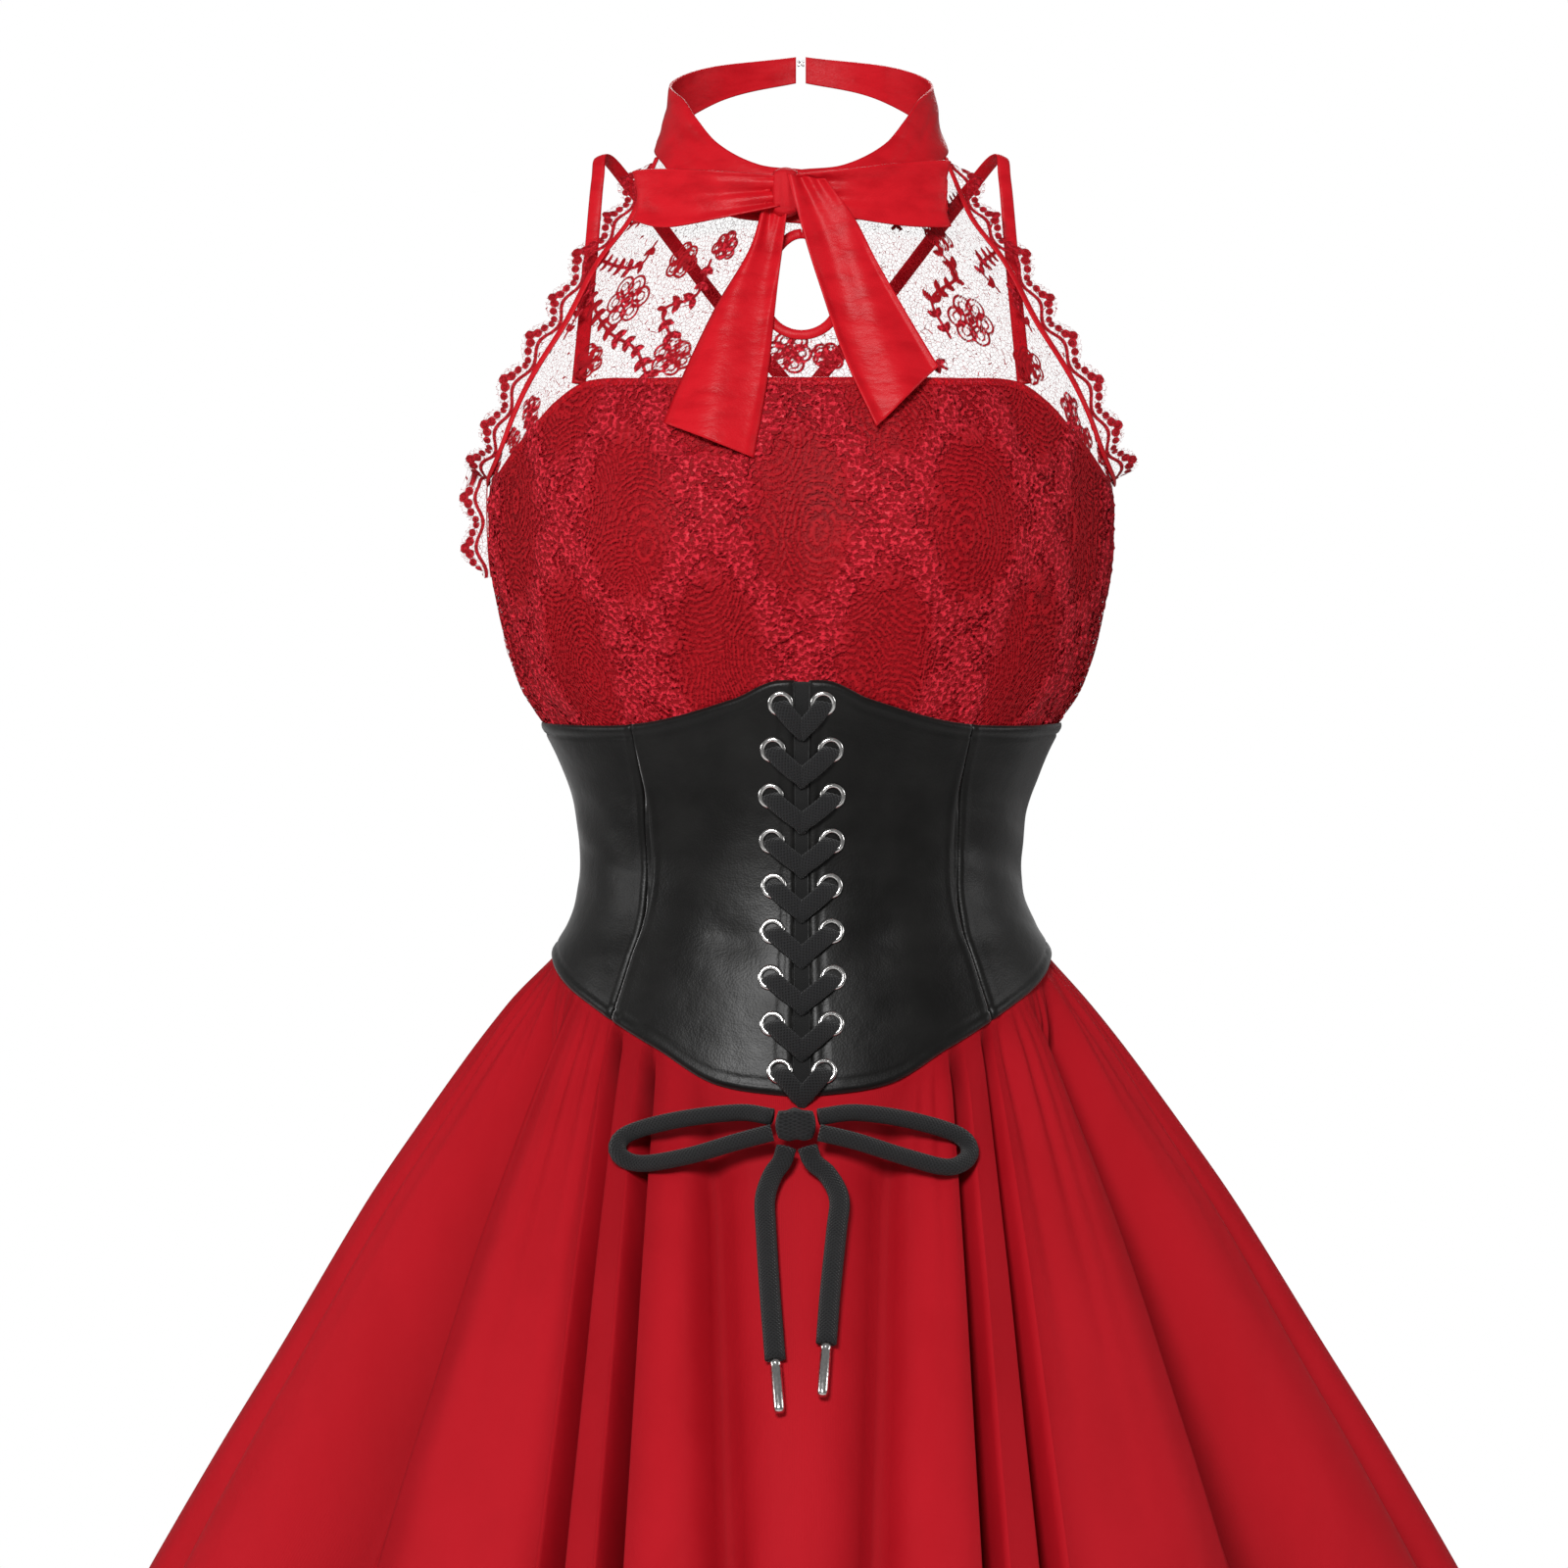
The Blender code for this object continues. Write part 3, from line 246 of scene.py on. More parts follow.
class Shader:
    """Node tree of one material, and the one way that nodes are added to it."""

    def __init__(self, name: str, **numbers: float | tuple) -> None:
        """Makes a material with a Principled BSDF.

        Args:
            name: The material's name.
            numbers: Values of the shader's own sockets, with _ for the spaces in their names.
        """
        self.material = bpy.data.materials.new(name)
        self.material.use_nodes = True
        self.tree = self.material.node_tree
        self.surface = self.tree.nodes["Principled BSDF"]
        for key, number in numbers.items():
            self.surface.inputs[key.replace("_", " ")].default_value = number

    def node(self, kind: str, settings: dict | None = None, values: dict | None = None,
             output: str | int = 0) -> Signal:
        """Adds a node.

        Args:
            kind: The node's type.
            settings: Its properties, and a ramp's stops as (place, colour).
            values: Values or links of its inputs, by name or number.
            output: Which output to return.

        Returns:
            The chosen output.
        """
        made = self.tree.nodes.new(kind)
        settings = dict(settings or {})
        stops = settings.pop("stops", None)
        for key, value in settings.items():
            setattr(made, key, value)
        if stops:
            ramp = made.color_ramp.elements
            while len(ramp) < len(stops):
                ramp.new(0.5)
            for element, (place, colour) in zip(ramp, stops):
                element.position, element.color = place, colour
        for key, value in (values or {}).items():
            if isinstance(value, Signal):
                self.tree.links.new(value.socket, made.inputs[key])
            else:
                made.inputs[key].default_value = value
        return Signal(self, made.outputs[output])

    def feed(self, name: str, value: Signal) -> None:
        """Links a value to one of the shader's own inputs."""
        self.tree.links.new(value.socket, self.surface.inputs[name])

    def uv(self, stretch: Sequence[float] = (1, 1, 1)) -> Signal:
        """The piece's own UV map in metres, stretched.

        Args:
            stretch: Factors along U, V and W.

        Returns:
            The stretched vector.
        """
        source = self.node("ShaderNodeTexCoord", output="UV")
        return self.stretched(source, stretch)

    def place(self, stretch: Sequence[float] = (1, 1, 1)) -> Signal:
        """Object coordinates in metres, stretched.

        Args:
            stretch: Factors along X, Y and Z.

        Returns:
            The stretched vector.
        """
        source = self.node("ShaderNodeTexCoord", output="Object")
        return self.stretched(source, stretch)

    def stretched(self, source: Signal, stretch: Sequence[float]) -> Signal:
        """A vector with its parts multiplied.

        Args:
            source: The vector.
            stretch: One factor for each part.

        Returns:
            The product.
        """
        return self.node("ShaderNodeMapping", values={"Vector": source, "Scale": tuple(stretch)})

    def noise(self, vector: Signal, scale: float, detail: float = 2.0) -> Signal:
        """Soft noise from 0 to 1.

        Args:
            vector: Where the noise is read.
            scale: Grains in a metre.
            detail: How many finer layers it has.

        Returns:
            The noise.
        """
        values = {"Vector": vector, "Scale": scale, "Detail": detail}
        return self.node("ShaderNodeTexNoise", values=values)

    def cells(self, vector: Signal, scale: float, feature: str = "F1") -> Signal:
        """Distance in a pattern of cells.

        Args:
            vector: Where the pattern is read.
            scale: Cells in a metre.
            feature: Which distance is wanted.

        Returns:
            The distance, in cells.
        """
        settings = {"feature": feature}
        return self.node("ShaderNodeTexVoronoi", settings, {"Vector": vector, "Scale": scale},
                         "Distance")

    def attribute(self, name: str) -> Signal:
        """Value that the mesh keeps at its points."""
        return self.node("ShaderNodeAttribute", {"attribute_name": name}, output="Fac")

    def axis(self, vector: Signal, index: int) -> Signal:
        """One part of a vector, counted from 0."""
        return self.node("ShaderNodeSeparateXYZ", values={0: vector}, output=index)

    def tint(self, share: Signal, first: Sequence[float], second: Sequence[float]) -> Signal:
        """Colour between two colours.

        Args:
            share: 0 for the first colour and 1 for the second.
            first: The first colour, linear.
            second: The second colour, linear.

        Returns:
            The mixed colour.
        """
        stops = ((0.0, (*first, 1.0)), (1.0, (*second, 1.0)))
        return self.node("ShaderNodeValToRGB", {"stops": stops}, {0: share})

    def bump(self, height: Signal, depth: float, strength: float = 1.0) -> None:
        """Gives the surface a relief.

        Args:
            height: Height from 0 to 1.
            depth: Depth of the relief in metres.
            strength: How strongly it shows.
        """
        values = {"Height": height, "Distance": depth, "Strength": strength}
        self.feed("Normal", self.node("ShaderNodeBump", values=values, output="Normal"))


@dataclass(frozen=True)
class Satin:
    """Woven satin with a soft sheen and fine creases."""

    name: str = "red_satin_cloth"
    colour: tuple[float, float, float] = (0.600, 0.0080, 0.0160)
    shade: tuple[float, float, float] = (0.500, 0.0055, 0.0120)
    roughness: float = 0.36
    weave: float = 2600.0

    def material(self) -> bpy.types.Material:
        """Material of the finish."""
        shader = Shader(self.name, Roughness=self.roughness, Sheen_Weight=0.0,
                        Specular_IOR_Level=0.13)
        soft = shader.noise(shader.place((1, 1, 2.2)), 55.0, 3.0)
        fine = shader.noise(shader.uv((0.3, 1, 1)), self.weave, 0.0)
        shader.feed("Base Color", shader.tint(soft.step(0.25, 0.60), self.shade, self.colour))
        shader.feed("Roughness", soft * 0.16 + (self.roughness - 0.06))
        shader.bump(soft * 0.92 + fine * 0.08, 0.0011)
        return shader.material


@dataclass(frozen=True)
class SkirtCloth:
    """Smooth woven skirt cloth, with painted shade in its folds."""

    name: str = "red_skirt_cloth"
    colour: tuple[float, float, float] = (0.520, 0.0080, 0.0170)
    shade: tuple[float, float, float] = (0.490, 0.0070, 0.0150)
    # Colour of the painted shade that the cloth darkens towards down in its folds.
    inner: tuple[float, float, float] = (0.090, 0.0010, 0.0028)
    roughness: float = 0.52
    thread: float = 0.0006

    def material(self) -> bpy.types.Material:
        """Material of the finish."""
        shader = Shader(self.name, Roughness=self.roughness, Specular_IOR_Level=0.10)
        grain = shader.uv((1, 1, 1))
        turn = 2 * math.pi / self.thread
        warp = (shader.axis(grain, 0) * turn).sine()
        weft = (shader.axis(grain, 1) * turn).sine()
        soft = shader.noise(shader.place((1, 1, 0.35)), 26.0, 3.0)
        plain = shader.tint(soft.step(0.28, 0.62), self.shade, self.colour)
        # Painted shade: the colour is mixed towards the inner colour by how deep the point lies in a fold.
        values = {"Factor": shader.attribute("fold") * 0.80, 6: plain, 7: (*self.inner, 1.0)}
        mixed = shader.node("ShaderNodeMix", {"data_type": "RGBA"}, values, 2)
        shader.feed("Base Color", mixed)
        shader.feed("Roughness", soft * 0.18 + (self.roughness - 0.08))
        shader.bump(soft * 0.90 + (warp * weft) * 0.05, 0.0016)
        return shader.material


@dataclass(frozen=True)
class Lining:
    """Plain lining of the bodice, which shows between the threads of the lace."""

    name: str = "red_lining_cloth"
    colour: tuple[float, float, float] = (0.400, 0.0060, 0.0125)
    shade: tuple[float, float, float] = (0.250, 0.0035, 0.0080)

    def material(self) -> bpy.types.Material:
        """Material of the finish."""
        shader = Shader(self.name, Roughness=0.50, Specular_IOR_Level=0.10)
        soft = shader.noise(shader.place((1, 1, 0.6)), 45.0, 3.0)
        knit = shader.cells(shader.uv((1, 0.6, 1)), 900.0)
        shader.feed("Base Color", shader.tint(soft.step(0.25, 0.65), self.shade, self.colour))
        shader.feed("Roughness", soft * 0.20 + 0.40)
        shader.bump(soft * 0.7 + knit * 0.3, 0.0009)
        return shader.material


@dataclass(frozen=True)
class Lace:
    """Flower lace: corded outlines, hatched petals and a fine net between them, with a painted highlight on
    its flower clusters.
    """

    name: str = "red_lace_cloth"
    colour: tuple[float, float, float] = (0.430, 0.0050, 0.0110)
    depth: tuple[float, float, float] = (0.190, 0.0020, 0.0050)
    # Colour of the painted highlight on the flower clusters and the bodice's sides.
    painted_highlight: tuple[float, float, float] = (0.740, 0.0260, 0.0480)
    net: float = 460.0
    cord: float = 0.00055
    swirl: float = 24.0
    speck: float = 430.0

    def material(self) -> bpy.types.Material:
        """Material of the finish."""
        shader = Shader(self.name, Roughness=0.46, Specular_IOR_Level=0.12)
        inside, line = shader.attribute("inside"), shader.attribute("line")
        solid, backed = shader.attribute("solid"), shader.attribute("backed")
        flat = shader.uv()
        outline = 1.0 - line.step(self.cord, self.cord * 1.8)
        web = shader.cells(flat, self.net, "DISTANCE_TO_EDGE")
        net = 1.0 - web.step(0.018, 0.040)
        filled = inside.step(0.0, 0.0004)
        bent = shader.cells(shader.stretched(flat, (1.0, 0.62, 1.0)), self.swirl)
        wander = shader.noise(flat, 36.0, 1.0)
        rings = ((bent * 25.0 + wander * 3.0) * (2 * math.pi)).sine() * 0.5 + 0.5
        fleck = shader.noise(flat, self.speck, 2.0).step(0.40, 0.62)
        # Share of painted highlight, which also sets the lace's grain and relief.
        cluster = shader.attribute("cluster").step(0.05, 0.75)
        cloth = backed * (rings * 0.35 + fleck * 0.65).step(0.25, 0.60)
        shown = outline.most(filled).most(net).most(solid).most(cloth)
        # Painted highlight: the flower clusters, their flecks and the bodice's sides mix towards the
        # highlight colour.
        light = (outline * 0.45 + filled * 0.20 + 0.45) * fleck * (cluster * 0.85 + 0.06)
        grain = rings * (1.0 - cluster) + fleck * cluster
        deep = shader.tint(grain * 0.60 + 0.30, self.depth, self.colour)
        values = {"Factor": light, 6: deep, 7: (*self.painted_highlight, 1.0)}
        mixed = shader.node("ShaderNodeMix", {"data_type": "RGBA"}, values, 2)
        shader.feed("Base Color", mixed)
        shader.feed("Roughness", 0.58 - light * 0.22)
        shader.feed("Alpha", shown)
        relief = outline * 0.5 + filled * 0.2 + fleck * (cluster * 0.7 + 0.12) + rings * backed * 0.18
        shader.bump(relief, 0.0012)
        return shader.material


@dataclass(frozen=True)
class Leather:
    """Smooth coated leather with a faint grain."""

    name: str = "black_corset_leather"
    colour: tuple[float, float, float] = (0.0036, 0.0034, 0.0031)
    worn: tuple[float, float, float] = (0.0065, 0.0062, 0.0057)
    roughness: float = 0.40

    def material(self) -> bpy.types.Material:
        """Material of the finish."""
        shader = Shader(self.name, Roughness=self.roughness, Specular_IOR_Level=0.24,
                        Sheen_Weight=0.22, Sheen_Roughness=0.40)
        spot = shader.place()
        grain = shader.cells(spot, 850.0)
        cloud = shader.noise(spot, 38.0, 3.0)
        shader.feed("Base Color", shader.tint(cloud.step(0.35, 0.75), self.colour, self.worn))
        shader.feed("Roughness", cloud * 0.20 + (self.roughness - 0.10))
        shader.bump(cloud * 0.93 + grain * 0.07, 0.0012, 0.7)
        return shader.material


@dataclass(frozen=True)
class Cloth:
    """Plain black cloth behind the lacing."""

    name: str = "black_backing_cloth"
    colour: tuple[float, float, float] = (0.0035, 0.0035, 0.0035)
    thread: float = 0.0009

    def material(self) -> bpy.types.Material:
        """Material of the finish."""
        shader = Shader(self.name, Roughness=0.8, Sheen_Weight=0.1)
        flat = shader.uv()
        turn = 2 * math.pi / self.thread
        weave = (shader.axis(flat, 0) * turn).sine() * (shader.axis(flat, 1) * turn).sine()
        lighter = tuple(2.2 * part for part in self.colour)
        shader.feed("Base Color", shader.tint(weave * 0.5 + 0.5, self.colour, lighter))
        shader.bump(weave * 0.5 + 0.5, 0.0004)
        return shader.material


@dataclass(frozen=True)
class Braid:
    """Matte flat braid: strands cross in a herringbone along the cord."""

    name: str = "black_braided_cord"
    colour: tuple[float, float, float] = (0.0030, 0.0030, 0.0032)
    top: tuple[float, float, float] = (0.0130, 0.0130, 0.0140)
    strand: float = 0.0021

    def material(self) -> bpy.types.Material:
        """Material of the finish."""
        shader = Shader(self.name, Roughness=0.82, Sheen_Weight=0.12, Specular_IOR_Level=0.3)
        flat = shader.uv()
        across, run = shader.axis(flat, 0), shader.axis(flat, 1)
        turn = 2 * math.pi / self.strand
        first = ((run + across) * turn).sine()
        second = ((run - across) * turn).sine()
        weave = first.most(second) * 0.5 + 0.5
        fuzz = shader.noise(shader.place(), 1500.0, 1.0)
        shader.feed("Base Color", shader.tint(weave * 0.7 + fuzz * 0.3, self.colour, self.top))
        shader.feed("Roughness", 0.92 - weave * 0.20)
        shader.bump(weave * 0.8 + fuzz * 0.2, 0.0007)
        return shader.material


@dataclass(frozen=True)
class Silver:
    """Polished metal with fine handling marks."""

    name: str = "polished_silver_metal"
    colour: tuple[float, float, float] = (0.78, 0.77, 0.75)
    dull: tuple[float, float, float] = (0.52, 0.51, 0.50)

    def material(self) -> bpy.types.Material:
        """Material of the finish."""
        shader = Shader(self.name, Metallic=1.0, Roughness=0.2)
        marks = shader.noise(shader.place((1, 1, 0.2)), 900.0, 2.0)
        shader.feed("Base Color", shader.tint(marks, self.dull, self.colour))
        shader.feed("Roughness", marks * 0.16 + 0.12)
        shader.bump(marks, 0.0001)
        return shader.material


@dataclass
class BodyForm:
    """Form of the torso that every close-fitting piece lies on."""

    sections: tuple = (
        (-0.570, 0.180, 0.121, 0.125), (-0.540, 0.168, 0.113, 0.116),
        (-0.500, 0.150, 0.104, 0.105), (-0.474, 0.1385, 0.099, 0.095),
        (-0.4575, 0.1290, 0.095, 0.088), (-0.434, 0.1217, 0.092, 0.082),
        (-0.410, 0.1213, 0.091, 0.081), (-0.3825, 0.1250, 0.093, 0.083),
        (-0.3612, 0.1330, 0.096, 0.086), (-0.3400, 0.1440, 0.099, 0.089),
        (-0.3200, 0.1570, 0.103, 0.092), (-0.2856, 0.1680, 0.110, 0.096),
        (-0.2410, 0.1750, 0.113, 0.098), (-0.1850, 0.1745, 0.108, 0.096),
        (-0.1510, 0.1680, 0.101, 0.092), (-0.1140, 0.1500, 0.089, 0.083),
        (-0.0830, 0.1300, 0.079, 0.073), (-0.0550, 0.1050, 0.070, 0.064),
        (-0.0120, 0.0790, 0.062, 0.057), (0.0220, 0.0714, 0.058, 0.0555),
        (0.0500, 0.0700, 0.056, 0.0550),
    )
    cup_fullness: float = 0.017
    cup_x: float = 0.078
    cup_z: float = -0.236
    cup_spread: tuple[float, float] = (0.040, 0.044)
    collar_top: tuple = ((0, -0.033), (15, -0.030), (34, -0.0167), (49, -0.001), (62, 0.012),
                         (90, 0.0235), (135, 0.040), (180, 0.0485))
    collar_bottom: tuple = ((0, -0.064), (20, -0.060), (40, -0.046), (60, -0.027),
                            (90, -0.012), (120, 0.008), (150, 0.025), (180, 0.0337))
    lining_top: tuple = ((0, -0.1520), (30, -0.1515), (45, -0.1520), (52.5, -0.1620),
                         (60, -0.1770), (75, -0.1990), (90, -0.2070))
    corset_top: tuple = ((0, -0.317), (6, -0.3177), (14, -0.3270), (32, -0.3385),
                         (49, -0.3415), (90, -0.338), (180, -0.338))
    corset_bottom: tuple = ((0, -0.5485), (16, -0.5415), (30, -0.522), (55, -0.496),
                            (90, -0.474), (180, -0.474))
    armhole: tuple = ((75, -0.010), (70, -0.030), (63, -0.055), (61, -0.084), (60, -0.115),
                      (64, -0.145), (69, -0.170), (74, -0.187), (81, -0.198), (90, -0.2035))

    def __post_init__(self) -> None:
        """Turns the rows into curves."""
        self.torso = Table(self.sections)
        self.edges = {name: Table(getattr(self, name)) for name in
                      ("collar_top", "collar_bottom", "lining_top", "corset_top", "corset_bottom")}
        self.opening = Table([(z, a) for a, z in self.armhole[::-1]])

    def edge(self, name: str, degrees: float) -> float:
        """Height of a named edge at an angle."""
        return self.edges[name].at(abs(degrees))

    def armhole_degrees(self, z: float) -> float:
        """Angle of the armhole's edge at a height, or of the side seam below it."""
        return 90.0 if z < self.armhole[-1][1] else self.opening.at(z)

    def point(self, degrees: float, z: float) -> Vector:
        """Point of the form at an angle and a height.

        Args:
            degrees: Angle from the centre front.
            z: Height.

        Returns:
            The point.
        """
        angle = math.radians(degrees)
        ahead = math.cos(angle)
        depth = self.torso.at(z, 2 if ahead > 0 else 3)
        x = self.torso.at(z, 1) * math.sin(angle)
        across = (abs(x) - self.cup_x) / self.cup_spread[0]
        upward = (z - self.cup_z) / self.cup_spread[1]
        cup = self.cup_fullness * math.exp(-0.5 * (across ** 2 + upward ** 2))
        return Vector((x, -depth * ahead - cup * min(1.0, max(0.0, 2 * ahead)), z))

    def surface(self, degrees: float, z: float, out: float) -> Vector:
        """Point at a distance out from the form.

        Args:
            degrees: Angle from the centre front.
            z: Height.
            out: Distance out.

        Returns:
            The point.
        """
        around = self.point(degrees + 0.5, z) - self.point(degrees - 0.5, z)
        upward = self.point(degrees, z + 0.001) - self.point(degrees, z - 0.001)
        return self.point(degrees, z) + around.cross(upward).normalized() * out

    def degrees_at(self, x: float, z: float) -> float:
        """Front angle at which the form has this x."""
        share = x / self.torso.at(z, 1)
        return math.degrees(math.asin(max(-1.0, min(1.0, share))))

    def chest(self, x: float, z: float, out: float) -> Vector:
        """Point in front of the body, by its x, height and distance out."""
        return self.surface(self.degrees_at(x, z), z, out)


@dataclass
class SkirtForm:
    """Form of the flared skirt: lines from the corset to the hem, drawn in by folds."""

    body: BodyForm
    hem_z: float = -1.020
    half_width: float = 0.482
    front: float = 0.400
    back: float = 0.395
    flare: tuple = ((0.0, 0.0), (0.084, 0.113), (0.175, 0.222), (0.258, 0.315),
                    (0.405, 0.460), (0.505, 0.559), (0.6375, 0.681), (1.0, 1.0))
    turned_edge: float = 8.5
    turned_slope: float = 15.0
    turned_gain: float = 1.45
    turned_depth: float = 0.040
    slot_gain: float = 2.6
    slot_share: float = 0.62
    slot_depth: float = 0.020
    crease_gain: float = 3.4
    front_folds: tuple = ((19, 3.6, 0.008, 1.7, 3.0), (31, 13.6, 0.022, 1.9, 1.9),
                          (41, 18.4, 0.026, 1.9, 2.2), (58, 36.5, 0.046, 2.4, 8.0),
                          (70, 56.0, 0.014, 5.0, 5.0), (82, 77.0, 0.020, 4.0, 4.0))
    back_folds: tuple = ((105, 107.0, 0.026, 3.0, 5.0), (119, 121.0, 0.018, 5.0, 5.0),
                         (133, 136.0, 0.040, 3.0, 6.0), (146, 150.0, 0.016, 5.0, 4.0),
                         (160, 163.0, 0.032, 3.0, 5.0), (172, 173.0, 0.020, 3.0, 3.0))
    tuck: float = 0.004
    lines: dict = field(default_factory=dict)

    def __post_init__(self) -> None:
        """Turns the flare and the folds' feet into curves."""
        self.spread = Table(self.flare)
        self.feet = sorted([(0.0, 0.0), (90.0, 90.0), (180.0, 180.0)]
                           + [(fold[1], fold[0]) for fold in self.front_folds + self.back_folds])

    def top_angle(self, hem: float) -> float:
        """Angle at the corset of the line that ends at an angle of the hem.

        Args:
            hem: Angle at the hem.

        Returns:
            The angle at the corset.
        """
        size = min(179.999, abs(hem))
        if abs(hem) >= 180:
            return hem
        index = max(k for k in range(len(self.feet) - 1) if self.feet[k][0] <= size)
        low, high = self.feet[index], self.feet[index + 1]
        value = blend(low[1], high[1], (size - low[0]) / (high[0] - low[0]))
        return math.copysign(value, hem)

    def line(self, hem: float) -> tuple[Vector, Vector, float]:
        """Start and end of one line of the skirt, and its angle at the corset."""
        if hem not in self.lines:
            top = self.top_angle(hem)
            start = self.body.surface(top, self.body.edge("corset_bottom", top) - 0.001, 0.0025)
            angle = math.radians(hem)
            depth = self.front if math.cos(angle) > 0 else self.back
            end = Vector((self.half_width * math.sin(angle), -depth * math.cos(angle), self.hem_z))
            self.lines[hem] = (start, end, top)
        return self.lines[hem]

    def drawn_in(self, hem: float, share: float, crisp: bool = False) -> float:
        """How far all folds draw the skirt in.

        Args:
            hem: Angle at the hem.
            share: 0 at the corset and 1 at the hem.
            crisp: Whether the folds have the cloth's own narrow slots and pressed edges.

        Returns:
            The distance towards the body.
        """
        deepening = smooth(-0.12, 0.40, share) * (0.40 + 0.60 * share)
        if crisp:
            deepening = smooth(-0.02, 0.16, share) * (0.60 + 0.60 * share)
        total = 0.0
        for _, foot, depth, inner, outer in self.front_folds + self.back_folds:
            offset = abs(hem) - foot
            if crisp and depth > self.turned_depth:
                offset -= self.turned_edge
                if offset < 0:
                    total += self.turned_gain * depth * max(0.0, 1 - (offset / self.turned_edge) ** 2)
                else:
                    total += self.turned_gain * depth * bell(offset, self.turned_slope)
            elif crisp and depth > self.slot_depth:
                width = self.slot_share * (outer if offset > 0 else inner)
                total += self.slot_gain * depth * max(0.0, 1 - abs(offset / width) ** 1.5)
            elif crisp:
                width = outer if offset > 0 else inner
                total += self.crease_gain * depth * math.exp(-1.6 * abs(offset / width) ** 1.6)
            else:
                total += depth * math.exp(-1.6 * (offset / (outer if offset > 0 else inner)) ** 2)
        return total * deepening

    def point(self, hem: float, share: float, crisp: bool = False) -> Vector:
        """Point of the skirt. A share below 0 runs up inside the corset.

        Args:
            hem: Angle at the hem.
            share: 0 at the corset and 1 at the hem.
            crisp: Whether the folds are as narrow as the cloth's own.

        Returns:
            The point.
        """
        start, end, top = self.line(hem)
        if share < 0:
            rise = self.body.edge("corset_bottom", top) + self.tuck * min(1.0, -share * 40)
            return self.body.surface(top, rise, 0.0025)
        spread = self.spread.at(share)
        point = Vector((blend(start.x, end.x, spread), blend(start.y, end.y, spread),
                        blend(start.z, end.z, share)))
        inward = Vector((point.x, point.y, 0)).normalized()
        return point - inward * self.drawn_in(hem, share, crisp)

    def surface(self, hem: float, share: float, out: float) -> Vector:
        """Point at a distance out from the skirt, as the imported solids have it."""
        across = self.point(hem + 0.25, share) - self.point(hem - 0.25, share)
        lower, upper = min(1.0, share + 0.004), max(0.0, share - 0.004)
        upward = self.point(hem, upper) - self.point(hem, lower)
        return self.point(hem, share) + across.cross(upward).normalized() * out

    def ahead(self, x: float, z: float, out: float) -> Vector:
        """Point in front of the skirt.

        Args:
            x: Place across.
            z: Height.
            out: Distance out from the cloth.

        Returns:
            The point.
        """
        hem, share, point = 2.0, 0.2, Vector()
        for _ in range(60):
            point = self.surface(hem, share, out)
            hem = max(-80.0, min(80.0, hem + 100 * (x - point.x)))
            share = min(1.0, max(0.0, share - 1.2 * (z - point.z)))
        return point


